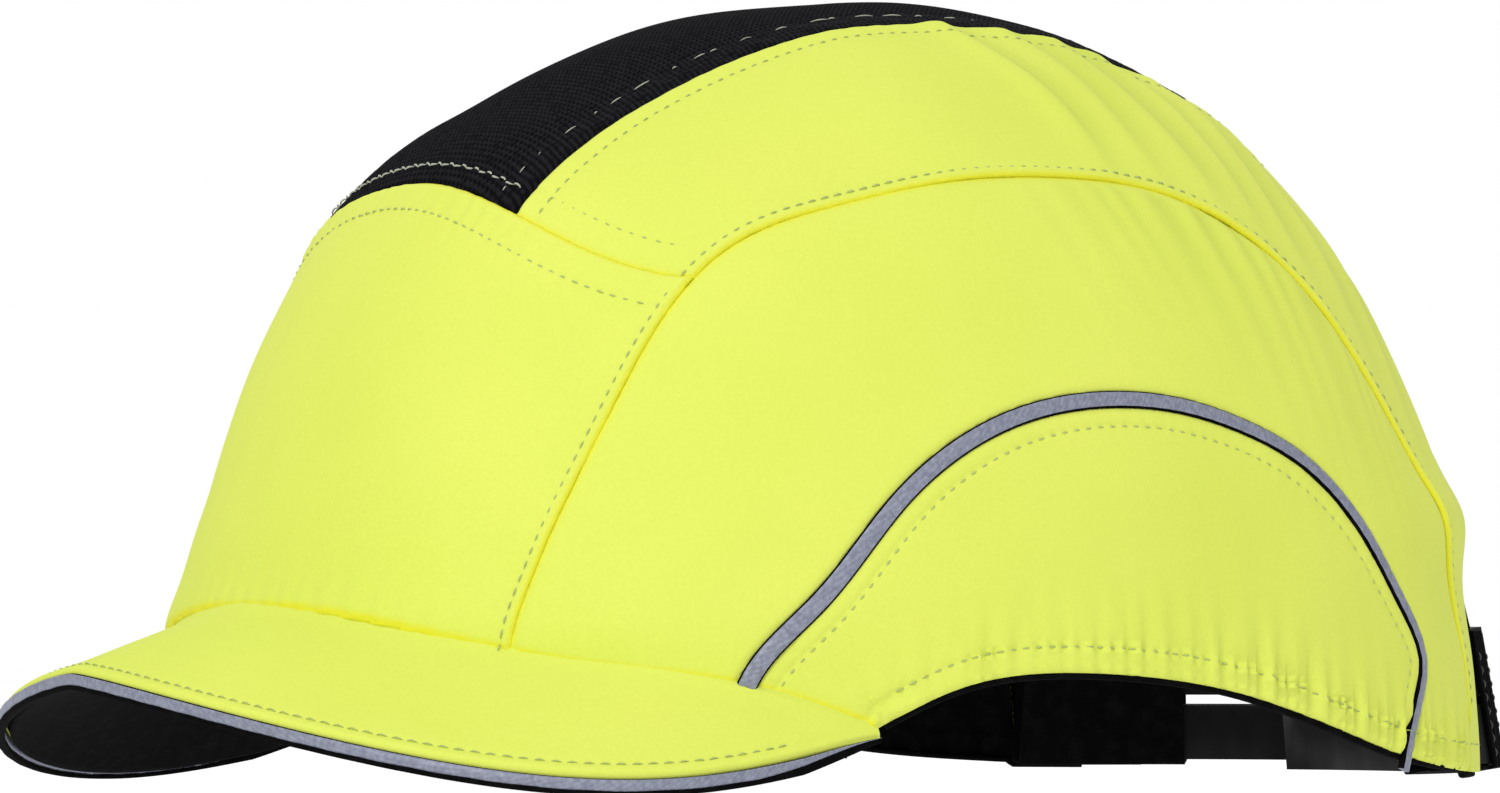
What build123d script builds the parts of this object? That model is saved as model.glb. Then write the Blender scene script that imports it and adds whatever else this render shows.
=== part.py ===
from build123d import *
import os
from math import cos, sin, pi, radians, degrees

# Frame: +Z up, the front and the peak towards -Y, the wearer's left towards +X.
# The origin is the middle of the cap's bounding box, on the surface that it rests on.

# Crown: a superellipsoid, z = 0 at the rest surface
CROWN_A = 86.0          # half width
CROWN_B = 106.5         # half length
CROWN_H = 121.3         # height
PLAN_POWER = 2.15
SIDE_POWER = 2.22
CROWN_Y = 4.55          # crown centre, forward or back of the origin

# Layers, as distances outwards from the crown surface
FABRIC = (-1.0, 0.0)
SHELL = (-3.3, -1.3)
PADS = (-8.9, -3.4)
BAND = (-6.2, -3.6)
LABEL = (-6.6, -6.3)
PIPING = (-1.0, 0.8)
BINDING = (-2.0, 0.3)

# Panels
MESH_HALF = 29.0        # half width of the mesh strip
PIPING_W = 2.4
HEM_DROP = 1.2          # binding under the hem
HEM_START_X = 52.5      # |x| where the hem binding starts, at the rear
ARCH_HALF = 52.0        # rear opening, half width at the rest surface
ARCH_TOP = 46.0
ARCH_BINDING = 1.4

# Insert and head band
SHELL_FRONT_Z = 44.0
SHELL_REAR_Z = 28.0
SHELL_EAR_GAP = 2.0     # round the arched piping
SHELL_ARCH_GAP = (4.0, 5.0)     # round the rear opening, sideways and above
VENT = (7.0, 22.0)      # width and length
VENT_X = (-15, 0, 15)
VENT_Y = (-40, -10, 20)
CROWN_PAD = (62.0, 96.0, 20.0)  # width, length, corner radius
BAND_LOW = 2.0          # the band's lower edge, above the hem
BAND_HIGH = 32.0
BAND_REAR = 46.0        # y where the band ends

# Peak
PEAK_LENGTH = 29.6
PEAK_END = 78.0         # |x| where the peak runs out
PEAK_DROOP = (16.7, 44.0)   # droop at the middle and at the ends, degrees
COVER_T = 0.7
BOARD_T = 1.6
PEAK_ROOT = 0.7         # gap between the crown's surface and the peak's root
EDGE_T = 0.9            # thickness of the edge piping
EDGE_DROP = 0.1         # its upper edge, under the cover's face
EDGE_H = 2.0
EDGE_BINDING_H = 1.4
PLY_GAP = 0.05          # between the peak's layers
COVER_SHARE = 0.99      # how much of the peak's length the covers take up
BOARD_SHARE = (0.05, 0.9)
BOARD_END = 74.0

# Size adjuster: two rack straps on a shallow cone about a vertical axis
STRAP_Y = 62.0          # cone axis, behind the crown centre
STRAP_R = 55.0          # outer face of the outer strap, at mid-height
STRAP_Z = 12.6
STRAP_LEAN = 9.7        # degrees, wider at the bottom
STRAP_T = 1.6
STRAP_GAP = 0.2
STRAP_HALF_H = 10.25
STRAP_TIP = -20.5       # degrees past the middle
STRAP_TAIL = 66.0
TEETH = 10
MODULE = 0.8
SLOT_HALF_H = 4.95
SLOT_REACH = 15.0       # the rack's slot, to each side of the pinion
FLEX_SLOT_HALF_H = 0.9
FLEX_SLOT_INSET = (3.0, 8.0)    # degrees, from the rack's slot and from the tail
RACK_TEETH = 12
TOOTH_INSET = 0.06      # the rack's teeth, in from the strap's faces
SLEEVE_WALL = 0.6
SLEEVE_GAP = 0.25
SLEEVE_START = 47.0     # degrees; a closed tube from here
SLEEVE_OPEN = 55.0      # a channel without an outer wall from here
SLEEVE_END = 78.0

# Housing and knob: radii, and distances outwards from the outer strap's face
HOUSING_HALF = 27.0     # degrees
HOUSING_HALF_H = 11.6
HOUSING_FIT = 0.3       # clearance round the straps
COVER_D = (0.3, 1.7)
RIM_TOP = 1.0
BASE_PLATE = 1.25
RING_R = (8.7, 9.6)     # the toothed ring that the spring clicks in
RING_TOP = 2.8
RING_TEETH = 24
SHAFT_R = 2.4
SHAFT_TOP = 5.0
FOOT_R = 1.5            # the shaft's end, in the base's socket
FOOT_DEPTH = 0.8
PIN_FIT = 0.05
GEAR_CORE_R = 3.1
GEAR_FIT = 0.15
KNOB_R = 11.5
KNOB_D = (1.9, 6.9)
KNOB_EDGE = 0.5
GRIPS = 16
GRIP_R = 1.3
HOLLOW_R = 10.1         # the knob's underside, open for the ring and the spring
HOLLOW_TOP = 3.2
SCREW_R = 0.9
SCREW_START = 1.2
HEAD_R = 2.0
HEAD_D = (5.9, 6.7)
SCREW_SLOT = (2.6, 0.5)
SPRING_R = (2.42, 3.9)  # the spring's hub
SPRING_D = (1.95, 2.75)

BIG = 200.0             # further than anything reaches
TOP = 150.0             # above everything
FOOT = -10.0            # below everything


def rim_point(turn, grow, z_angle):
    """A point of the crown grown by grow, at a plan angle and an elevation angle."""
    a, b, h = CROWN_A + grow, CROWN_B + grow, CROWN_H + grow
    c, s = cos(turn), sin(turn)
    plan = (abs(c) ** PLAN_POWER + abs(s) ** PLAN_POWER) ** (-1 / PLAN_POWER)
    cz, sz = cos(z_angle), sin(z_angle)
    side = (abs(cz) ** SIDE_POWER + abs(sz) ** SIDE_POWER) ** (-1 / SIDE_POWER)
    reach = plan * side * cz
    return Vector(a * c * reach, CROWN_Y + b * s * reach, h * side * sz)


def section(grow, z_angle):
    """A closed level curve round the crown."""
    count = 32
    points = [rim_point(2 * pi * i / count, grow, z_angle) for i in range(count)]
    return Wire([Edge.make_spline(points, periodic=True)])


def dome(grow):
    """The solid crown, from just under the rest surface to its top."""
    elevations = [0, 10, 20, 30, 40, 50, 60, 69, 76, 82, 86.5]
    walls = [section(grow, radians(e)) for e in elevations]
    body = Solid.make_loft(walls)
    foot = extrude(Face(walls[0]), amount=-6, dir=(0, 0, 1))
    return (body + foot).solid()


def layer(span, region):
    """The part of a layer of the crown that lies inside a region."""
    return (dome(span[1]) & region) - dome(span[0])


def side_prism(*edges):
    """A region drawn in side view (y, z), right through the cap."""
    face = Face(Wire(list(edges)))
    return extrude(face, amount=BIG, dir=(1, 0, 0), both=True)


def yz(y, z):
    return Vector(0, CROWN_Y + y, z)


def polyline(points):
    return [Edge.make_line(p, q) for p, q in zip(points, points[1:])]


def above_edge(drop):
    """Everything above the fabric's lower edge: the peak seam, the ear hem and the rear."""
    seam = Edge.make_spline([yz(-112, 30 - drop), yz(-105, 26.5 - drop), yz(-95, 21.8 - drop),
                             yz(-80, 17.3 - drop), yz(-66, 15.3 - drop), yz(-46, 9 - drop)])
    hem = Edge.make_spline([yz(-46, 9 - drop), yz(-33, 15 - drop), yz(-10, 17 - drop),
                            yz(17, 13.8 - drop), yz(51, 5 - drop), yz(90, 1.2 - drop),
                            yz(115, 1.2 - drop)])
    rest = polyline([yz(115, 1.2 - drop), yz(130, TOP), yz(-130, TOP), yz(-112, 30 - drop)])
    return side_prism(seam, hem, *rest)


def front_region():
    """In front of the front seam, which is a hollow arc in side view."""
    arc = Edge.make_three_point_arc(yz(-77, 90), yz(-72, 79), yz(-60.5, 74.3))
    rest = polyline([yz(-60.5, 74.3), yz(-58, FOOT), yz(-130, FOOT), yz(-130, 100), yz(-80, 100),
                     yz(-77, 90)])
    return side_prism(arc, *rest)


def centre_region():
    """Between the two side seams, drawn in plan."""
    seam = [(49, -90), (53, -78), (54, -62), (58, -40), (61, -8), (61.5, 40), (63, 60), (60.5, 82)]
    right = Edge.make_spline([Vector(x, CROWN_Y + y, FOOT) for x, y in seam])
    left = Edge.make_spline([Vector(-x, CROWN_Y + y, FOOT) for x, y in reversed(seam)])
    behind = polyline([Vector(60.5, CROWN_Y + 82, FOOT), Vector(60, BIG, FOOT),
                       Vector(-60, BIG, FOOT), Vector(-60.5, CROWN_Y + 82, FOOT)])
    ahead = polyline([Vector(-49, CROWN_Y - 90, FOOT), Vector(-49, -BIG, FOOT),
                      Vector(49, -BIG, FOOT), Vector(49, CROWN_Y - 90, FOOT)])
    return extrude(Face(Wire([right, *behind, left, *ahead])), amount=BIG, dir=(0, 0, 1))


def ear_region(inset):
    """Under the arched piping, in side view. A positive inset draws it smaller."""
    arch = [(-67, 5), (-63, 18), (-54, 28), (-41, 43), (-22, 55), (0, 58.5), (20, 55.5),
            (40, 45.5), (54, 30), (60.5, 18), (57, 10), (53, -2)]
    curve = Edge.make_spline([yz(y, z) for y, z in arch])
    count = 30
    points = []
    for i in range(count + 1):
        inwards = curve.tangent_at(i / count).cross(Vector(1, 0, 0))
        points.append(curve.position_at(i / count) + inwards * inset)
    outline = [Edge.make_spline(points), *polyline([points[-1], points[0]])]
    return side_prism(*outline)


def rear_arch(half, top):
    """The rear opening, as a half ellipse in rear view."""
    at = Plane((0, CROWN_Y + 60, 0), x_dir=(1, 0, 0), z_dir=(0, -1, 0))
    return extrude(at * Ellipse(half, top), amount=-BIG)


def block(x0, x1, y0, y1, z0, z1):
    """A box between two corners, y counted from the crown's centre."""
    low = Vector(x0, CROWN_Y + y0, z0)
    high = Vector(x1, CROWN_Y + y1, z1)
    middle = (low + high) * 0.5
    return Pos(*middle) * Box(*(high - low))


def mirrored(shape):
    return mirror(shape, about=Plane.YZ)


def fabric_panels():
    above = above_edge(0)
    centre = centre_region()
    front = front_region()
    mesh_box = block(-MESH_HALF, MESH_HALF, -BIG, BIG, FOOT, TOP)
    left_half = block(0, BIG, -BIG, BIG, FOOT, TOP)
    arch = rear_arch(ARCH_HALF, ARCH_TOP)
    cover = layer(FABRIC, above)
    middle = (cover & centre) - arch
    behind = middle - front
    sides = (cover & left_half) - centre
    ear_outer = ear_region(0)
    crown = (behind & left_half) - mesh_box
    side = sides - ear_outer
    ear = sides & ear_region(PIPING_W)
    return {
        "front_panel": middle & front,
        "mesh_strip": behind & mesh_box,
        "crown_panel_left": crown,
        "crown_panel_right": mirrored(crown),
        "side_panel_left": side,
        "side_panel_right": mirrored(side),
        "ear_panel_left": ear,
        "ear_panel_right": mirrored(ear),
    }


def trim():
    above = above_edge(0)
    left_side = block(30, BIG, -90, 70, FOOT, TOP)
    ring = (ear_region(0) - ear_region(PIPING_W)) & above & left_side
    piping = layer(PIPING, ring)
    under = (above_edge(HEM_DROP) - above) & block(HEM_START_X, BIG, -45, 110, FOOT, 40)
    hem = layer(BINDING, under)
    arch = rear_arch(ARCH_HALF, ARCH_TOP)
    arch = arch - rear_arch(ARCH_HALF - ARCH_BINDING, ARCH_TOP - ARCH_BINDING)
    arch_binding = layer(BINDING, arch & block(-60, 60, 60, 130, 25, 60))
    return {
        "side_piping_left": piping,
        "side_piping_right": mirrored(piping),
        "hem_binding_left": hem,
        "hem_binding_right": mirrored(hem),
        "rear_arch_binding": arch_binding,
    }


def vent_slots():
    width, length = VENT
    slots = []
    for x in VENT_X:
        for y in VENT_Y:
            slots.append(Pos(x, CROWN_Y + y, TOP) * Box(width, length, TOP))
    return slots


def insert():
    """The protective shell and the foam pads glued inside it."""
    aside, over = SHELL_ARCH_GAP
    room = block(-BIG, BIG, -BIG, 0, SHELL_FRONT_Z, TOP)
    room = room + block(-BIG, BIG, 0, BIG, SHELL_REAR_Z, TOP)
    room = room - ear_region(-SHELL_EAR_GAP) - rear_arch(ARCH_HALF + aside, ARCH_TOP + over)
    shell = layer(SHELL, room)
    for slot in vent_slots():
        shell = shell - slot
    crown = Pos(0, CROWN_Y - 5, 90) * extrude(RectangleRounded(*CROWN_PAD), amount=TOP)
    pads = {
        "crown_pad": crown,
        "front_pad": block(-40, 40, -BIG, -20, 61, 88),
        "side_pad_left": block(20, BIG, -34, 40, 66, 90),
        "rear_pad_left": block(16, 50, 46, BIG, 58, 86),
    }
    made = {name: layer(PADS, where) for name, where in pads.items()}
    for name in ("side_pad", "rear_pad"):
        made[name + "_right"] = mirrored(made[name + "_left"])
    made["protective_shell"] = shell
    return made


def head_band():
    low = above_edge(-BAND_LOW)
    tall = above_edge(-BAND_HIGH)
    reach = block(-BIG, BIG, -BIG, BAND_REAR, FOOT, TOP)
    band = layer(BAND, (low - tall) & reach)
    label = layer(LABEL, block(30, BIG, 20, 42, 20, 34))
    return {"sweatband": band, "care_label": label}


def crown_y_at(x, z):
    """The crown surface's y, at the front, for an x and a z."""
    level = (1 - (z / CROWN_H) ** SIDE_POWER) ** (PLAN_POWER / SIDE_POWER)
    return -CROWN_B * (level - (abs(x) / CROWN_A) ** PLAN_POWER) ** (1 / PLAN_POWER)


def seam_height(x):
    """The peak seam's height, from the middle out to the corner."""
    share = abs(x) / 79.0
    return 26.5 - 11.5 * share ** 1.5 - 6.0 * share ** 9


def peak_station(x):
    """At an x of the peak seam: its point, the way out in plan, the peak's length and droop."""
    z = seam_height(x)
    y = crown_y_at(x, z)
    nx = (abs(x) / CROWN_A) ** (PLAN_POWER - 1) / CROWN_A * (1 if x > 0 else -1)
    ny = -((abs(y) / CROWN_B) ** (PLAN_POWER - 1)) / CROWN_B
    share = abs(x) / 79.5
    length = PEAK_LENGTH * (1 - share ** 7.4) ** 1.23
    droop = radians(PEAK_DROOP[0] + (PEAK_DROOP[1] - PEAK_DROOP[0]) * share ** 1.27)
    return Vector(x, CROWN_Y + y, z), Vector(nx, ny, 0).normalized(), length, droop


def peak_stations(end):
    """The x places of the peak's cross-sections, closer together towards the ends."""
    count = 12
    return [end * sin(pi * i / (2 * count)) for i in range(-count, count + 1)]


def lofted(sections):
    return Solid.make_loft([Wire.make_polygon(corners) for corners in sections])


def plate(near, far, top, bottom, end=PEAK_END):
    """A layer of the peak, between two shares of its length and two depths."""
    sections = []
    for x in peak_stations(end):
        seam, ahead, length, droop = peak_station(x)
        out = ahead * cos(droop) - Vector(0, 0, sin(droop))
        down = ahead * -sin(droop) - Vector(0, 0, cos(droop))
        corners = [(near, top), (far, top), (far, bottom), (near, bottom)]
        sections.append([seam + out * (PEAK_ROOT + share * length) + down * depth
                         for share, depth in corners])
    return lofted(sections)


def edge_strip(top, bottom):
    """A band round the peak's edge, between two heights below it."""
    sections = []
    for x in peak_stations(PEAK_END):
        seam, ahead, length, droop = peak_station(x)
        edge = seam + ahead * ((PEAK_ROOT + length) * cos(droop)) - Vector(0, 0, length * sin(droop))
        corners = [(0.0, top), (EDGE_T, top), (EDGE_T, bottom), (0.0, bottom)]
        sections.append([edge + ahead * out - Vector(0, 0, drop) for out, drop in corners])
    return lofted(sections)


def peak():
    """The peak's two covers and the board between them, and the two bands of its edge."""
    board = COVER_T + PLY_GAP
    below = board + BOARD_T + PLY_GAP
    band = EDGE_DROP + EDGE_H
    return {
        "peak_top_cover": plate(0.0, COVER_SHARE, 0.0, COVER_T),
        "peak_board": plate(*BOARD_SHARE, board, board + BOARD_T, BOARD_END),
        "peak_under_cover": plate(0.0, COVER_SHARE, below, below + COVER_T),
        "peak_piping": edge_strip(EDGE_DROP, band),
        "peak_binding": edge_strip(band, band + EDGE_BINDING_H),
    }


LEAN = radians(STRAP_LEAN)
AXIS_Y = CROWN_Y + STRAP_Y
STRAP_AXIS = Axis((0, AXIS_Y, 0), (0, 0, -1))    # turning from the rear towards the left
LEFT_D = (-STRAP_T, 0.0)
RIGHT_D = (-2 * STRAP_T - STRAP_GAP, -STRAP_T - STRAP_GAP)


def on_cone(out, up, angle):
    """A point out from the outer strap's face and up along its slope, at an angle."""
    r = STRAP_R + out * cos(LEAN) - up * sin(LEAN)
    z = STRAP_Z + out * sin(LEAN) + up * cos(LEAN)
    a = radians(angle)
    return Vector(r * sin(a), AXIS_Y + r * cos(a), z)


def cone_band(outs, ups, start, end):
    """A band of the cone: a leaning rectangle turned from one angle to another."""
    corners = [on_cone(o, u, start) for o, u in
               ((outs[0], ups[0]), (outs[1], ups[0]), (outs[1], ups[1]), (outs[0], ups[1]))]
    return revolve(Face(Wire.make_polygon(corners)), axis=STRAP_AXIS, revolution_arc=end - start)


def cone_plane(out, angle):
    """A plane on the cone: local z outwards, local y up the slope."""
    a = radians(angle)
    z_dir = Vector(sin(a) * cos(LEAN), cos(a) * cos(LEAN), sin(LEAN))
    x_dir = Vector(-cos(a), sin(a), 0)
    return Plane(on_cone(out, 0, angle), x_dir=x_dir, z_dir=z_dir)


PITCH_R = TEETH * MODULE / 2
TOOTH_PITCH = pi * MODULE


def rack_tooth(up):
    """A rack tooth's outline: up is 1 for a tooth that hangs from the slot's top."""
    root, tip = SLOT_HALF_H + 0.3, PITCH_R - 0.5
    return Polygon((-0.85, up * root), (-0.34, up * tip), (0.34, up * tip), (0.85, up * root),
                   align=None)


def strap(outs, up):
    """A rack strap on the left side. Its rack is above (1) or below (-1) the pinion."""
    middle = (outs[0] + outs[1]) / 2
    middle_r = STRAP_R + middle
    body = cone_band(outs, (-STRAP_HALF_H, STRAP_HALF_H), STRAP_TIP, STRAP_TAIL)
    reach = degrees(SLOT_REACH / middle_r)
    wide = (outs[0] - 1, outs[1] + 1)
    body = body - cone_band(wide, (-SLOT_HALF_H, SLOT_HALF_H), -reach, reach)
    start = reach + FLEX_SLOT_INSET[0]
    end = STRAP_TAIL - FLEX_SLOT_INSET[1]
    body = body - cone_band(wide, (-FLEX_SLOT_HALF_H, FLEX_SLOT_HALF_H), start, end)
    half_t = (outs[1] - outs[0]) / 2 - TOOTH_INSET
    for i in range(RACK_TEETH):
        angle = degrees((i + 0.5 - RACK_TEETH / 2) * TOOTH_PITCH / middle_r)
        body = body + extrude(cone_plane(middle, angle) * rack_tooth(up), amount=half_t, both=True)
    return body


def sleeve():
    """A fabric channel that a strap slides in. Its outer wall ends where the panel takes over."""
    inside_h = STRAP_HALF_H + SLEEVE_GAP
    outside_h = inside_h + SLEEVE_WALL
    room = (RIGHT_D[0] - SLEEVE_GAP, LEFT_D[1] + SLEEVE_GAP)
    whole = (room[0] - SLEEVE_WALL, room[1] + SLEEVE_WALL)
    tube = cone_band(whole, (-outside_h, outside_h), SLEEVE_START, SLEEVE_OPEN)
    tube = tube - cone_band(room, (-inside_h, inside_h), SLEEVE_START - 1, SLEEVE_OPEN + 1)
    channel = cone_band((whole[0], -0.3), (-outside_h, outside_h), SLEEVE_OPEN, SLEEVE_END)
    hollow = (room[0], 0.5)
    channel = channel - cone_band(hollow, (-inside_h, inside_h), SLEEVE_OPEN - 1, SLEEVE_END + 1)
    return tube + channel


def turned(outline, low, high):
    """An outline in the knob's plane, from one distance to another along the knob's axis."""
    plane = cone_plane(low, 0)
    return extrude(plane * outline, amount=high - low, dir=plane.z_dir)


def gear(low, high):
    """The pinion's toothed section, from one distance to another along the knob's axis."""
    tip = PITCH_R + 0.6
    tooth = Polygon((-0.72, 2.6), (-0.66, GEAR_CORE_R), (-0.46, PITCH_R), (-0.24, tip),
                    (0.24, tip), (0.46, PITCH_R), (0.66, GEAR_CORE_R), (0.72, 2.6), align=None)
    body = turned(Circle(GEAR_CORE_R), low, high)
    for i in range(TEETH):
        body = body + turned(Rot(0, 0, 360 / TEETH * i) * tooth, low, high)
    return body


SEAT = RIGHT_D[0] - HOUSING_FIT     # the inner strap's side of the housing


def housing():
    """The cover with its toothed ring, and the base that closes it towards the head."""
    plate_h = (-HOUSING_HALF_H, HOUSING_HALF_H)
    rim = STRAP_HALF_H + HOUSING_FIT
    cover = cone_band(COVER_D, plate_h, -HOUSING_HALF, HOUSING_HALF)
    for ups in ((rim, HOUSING_HALF_H), (-HOUSING_HALF_H, -rim)):
        cover = cover + cone_band((SEAT, RIM_TOP), ups, -HOUSING_HALF, HOUSING_HALF)
    ring = Circle(RING_R[1]) - Circle(RING_R[0])
    for i in range(RING_TEETH):
        tooth = Pos(RING_R[0] + 0.05, 0) * Rectangle(0.3, 0.8)
        ring = ring + Rot(0, 0, 360 / RING_TEETH * i) * tooth
    cover = cover + turned(ring, RIM_TOP, RING_TOP)
    cover = cover - turned(Circle(SHAFT_R + PIN_FIT), -RIM_TOP, SHAFT_TOP)
    inner = SEAT - PIN_FIT
    base = cone_band((inner - BASE_PLATE, inner), plate_h, -HOUSING_HALF, HOUSING_HALF)
    base = base - turned(Circle(FOOT_R + PIN_FIT), SEAT - FOOT_DEPTH - PIN_FIT, 0.0)
    return {"ratchet_cover": cover, "ratchet_base": base}


def pinion():
    """The gear, with the shaft that carries the knob and a foot in the base."""
    body = gear(RIGHT_D[0] - GEAR_FIT, 0.0)
    body = body + turned(Circle(FOOT_R), SEAT - FOOT_DEPTH, RIGHT_D[0])
    body = body + turned(Circle(SHAFT_R), 0.0, SHAFT_TOP)
    return body - turned(Circle(SCREW_R), 0.5, SHAFT_TOP + 0.1)


def knob():
    inner, outer = KNOB_D
    outline = Circle(KNOB_R)
    for i in range(GRIPS):
        hollow = Pos(KNOB_R + 0.5, 0) * Circle(GRIP_R)
        outline = outline - Rot(0, 0, 360 / GRIPS * (i + 0.5)) * hollow
    body = turned(outline, inner, outer)
    outwards = Axis((0, 0, 0), (0, cos(LEAN), sin(LEAN)))
    body = chamfer(body.faces().sort_by(outwards)[-1].edges(), KNOB_EDGE)
    body = body - turned(Circle(HOLLOW_R), inner - 0.1, HOLLOW_TOP)
    body = body - turned(Circle(SHAFT_R), inner - 0.1, SHAFT_TOP)
    body = body - turned(Circle(SCREW_R + PIN_FIT), SHAFT_TOP - 0.1, outer + 0.2)
    return body - turned(Circle(HEAD_R + 0.1), HEAD_D[0], outer + 0.2)


def screw():
    body = turned(Circle(SCREW_R), SCREW_START, HEAD_D[0] + 0.1)
    body = body + turned(Circle(HEAD_R), *HEAD_D)
    return body - turned(Rectangle(*SCREW_SLOT), HEAD_D[1] - 0.3, HEAD_D[1] + 0.1)


def click_spring():
    """A hub on the shaft with two arms that end at the ring's teeth."""
    outline = Circle(SPRING_R[1]) - Circle(SPRING_R[0])
    arm = Pos(5.9, 0) * Rectangle(4.6, 1.1) + Pos(8.0, 0) * Circle(0.5)
    for angle in (0, 180):
        outline = outline + Rot(0, 0, angle) * arm
    return turned(outline, *SPRING_D)


def adjuster():
    left_sleeve = sleeve()
    made = {
        "strap_left": strap(LEFT_D, 1),
        "strap_right": mirrored(strap(RIGHT_D, -1)),
        "strap_sleeve_left": left_sleeve,
        "strap_sleeve_right": mirrored(left_sleeve),
    }
    made.update(housing())
    made["pinion"] = pinion()
    made["knob"] = knob()
    made["knob_screw"] = screw()
    made["click_spring"] = click_spring()
    return made


def build():
    nodes = {}
    for group in (fabric_panels, trim, insert, head_band, peak, adjuster):
        nodes.update(group())
    return nodes


os.makedirs("parts", exist_ok=True)
for node, shape in build().items():
    export_step(shape, "parts/" + node + ".step")
print("knob axis through", on_cone(0, 0, 0), "direction", (0, cos(LEAN), sin(LEAN)))
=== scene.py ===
from math import atan2, cos, degrees, pi, radians, sin

import bpy
import numpy as np
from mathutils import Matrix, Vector


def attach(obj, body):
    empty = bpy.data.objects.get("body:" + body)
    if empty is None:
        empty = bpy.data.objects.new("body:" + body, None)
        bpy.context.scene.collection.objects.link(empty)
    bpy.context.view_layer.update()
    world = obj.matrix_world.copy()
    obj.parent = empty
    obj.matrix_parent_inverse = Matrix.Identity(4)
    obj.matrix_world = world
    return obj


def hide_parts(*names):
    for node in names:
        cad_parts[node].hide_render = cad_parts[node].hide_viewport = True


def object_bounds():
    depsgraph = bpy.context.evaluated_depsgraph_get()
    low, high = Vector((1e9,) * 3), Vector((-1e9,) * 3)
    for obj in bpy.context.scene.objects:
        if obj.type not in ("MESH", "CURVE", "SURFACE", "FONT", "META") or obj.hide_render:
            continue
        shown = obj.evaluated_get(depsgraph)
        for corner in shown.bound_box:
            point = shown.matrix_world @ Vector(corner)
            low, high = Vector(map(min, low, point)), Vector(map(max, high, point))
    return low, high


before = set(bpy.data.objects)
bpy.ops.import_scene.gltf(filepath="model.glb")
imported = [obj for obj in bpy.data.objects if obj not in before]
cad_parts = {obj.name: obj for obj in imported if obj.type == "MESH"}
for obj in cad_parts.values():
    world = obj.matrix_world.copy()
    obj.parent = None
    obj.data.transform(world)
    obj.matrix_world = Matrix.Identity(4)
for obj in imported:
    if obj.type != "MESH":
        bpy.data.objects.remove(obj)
cad_low, cad_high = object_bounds()

# All shapes below are in millimetres about the crown's centre: +Z up, the peak towards -Y, the
# wearer's left towards +X. MM and CROWN_Y take them to the frame's metres.
MM = 0.001
CROWN_Y = 4.55

# Crown: a superellipsoid, as in the CAD model
A, B, H = 86.0, 106.5, 121.3
PLAN, SIDE = 2.15, 2.22

MESH_HALF = 29.0            # half width of the mesh strip
FRONT_SEAM_X = 53.6         # where the front seam meets the side seams
ARCH_HALF, ARCH_TOP = 52.0, 46.0
PIPING_W = 2.4
STITCH = 2.15               # stitch pitch
# How far the topstitches run from the side, mesh and front seams, behind the front seam, and
# from the piping and the hem
SIDE_STITCH, MESH_STITCH, FRONT_STITCH, BACK_STITCH = 1.5, 3.6, 5.2, 5.0
EAR_STITCH, HEM_STITCH = 2.8, 3.8
GRID = 0.95                 # spacing of the fabric's points
THICK = 0.8                 # fabric
FLOOR = -1.05               # the cloth stays outside the protective shell
THINNEST = 0.2              # the cloth, where it is pressed against the shell


# ---------------------------------------------------------------- curves and the crown's surface

def through(points, count):
    """A natural cubic curve through points, at even steps of its chord length."""
    q = np.array(points, float)
    t = np.concatenate([[0], np.cumsum(np.linalg.norm(np.diff(q, axis=0), axis=1))])
    h = np.diff(t)
    n = len(q)
    system, right = np.eye(n), np.zeros_like(q)
    for i in range(1, n - 1):
        system[i, i - 1:i + 2] = h[i - 1], 2 * (h[i - 1] + h[i]), h[i]
        right[i] = 6 * ((q[i + 1] - q[i]) / h[i] - (q[i] - q[i - 1]) / h[i - 1])
    k = np.linalg.solve(system, right)
    at = np.linspace(0, t[-1], count)
    i = np.clip(np.searchsorted(t, at, side="right") - 1, 0, n - 2)
    a, b, w = (t[i + 1] - at)[:, None], (at - t[i])[:, None], h[i][:, None]
    bend = (k[i] * a ** 3 + k[i + 1] * b ** 3) / (6 * w)
    return bend + (q[i] / w - k[i] * w / 6) * a + (q[i + 1] / w - k[i + 1] * w / 6) * b


def even(line, step):
    """A line's points again, at even steps."""
    run = np.concatenate([[0], np.cumsum(np.linalg.norm(np.diff(line, axis=0), axis=1))])
    count = max(2, round(run[-1] / step) + 1)
    at = np.linspace(0, run[-1], count)
    return np.stack([np.interp(at, run, line[:, i]) for i in range(line.shape[1])], axis=1)


def level(p):
    plan = (np.abs(p[:, 0] / A) ** PLAN + np.abs(p[:, 1] / B) ** PLAN) ** (SIDE / PLAN)
    return plan + np.abs(p[:, 2] / H) ** SIDE


def on_crown(p):
    """Points moved to the crown's surface along their radius."""
    return p * level(p)[:, None] ** (-1 / SIDE)


def outwards(p):
    """The crown's unit normals."""
    plan = np.abs(p[:, 0] / A) ** PLAN + np.abs(p[:, 1] / B) ** PLAN + 1e-12
    share = plan ** (SIDE / PLAN - 1)
    slope = np.stack([share * np.abs(p[:, 0] / A) ** (PLAN - 1) * np.sign(p[:, 0]) / A,
                      share * np.abs(p[:, 1] / B) ** (PLAN - 1) * np.sign(p[:, 1]) / B,
                      np.abs(p[:, 2] / H) ** (SIDE - 1) * np.sign(p[:, 2]) / H], axis=1)
    return slope / np.linalg.norm(slope, axis=1)[:, None]


def plan_level(z):
    return (1 - np.minimum(np.abs(z / H), 1) ** SIDE) ** (PLAN / SIDE)


def x_at(y, z):
    return A * np.maximum(plan_level(z) - np.abs(y / B) ** PLAN, 0) ** (1 / PLAN)


def y_at(x, z):
    return B * np.maximum(plan_level(z) - np.abs(x / A) ** PLAN, 0) ** (1 / PLAN)


def z_at(x, y):
    plan = (np.abs(x / A) ** PLAN + np.abs(y / B) ** PLAN) ** (SIDE / PLAN)
    return H * np.maximum(1 - plan, 0) ** (1 / SIDE)


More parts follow.
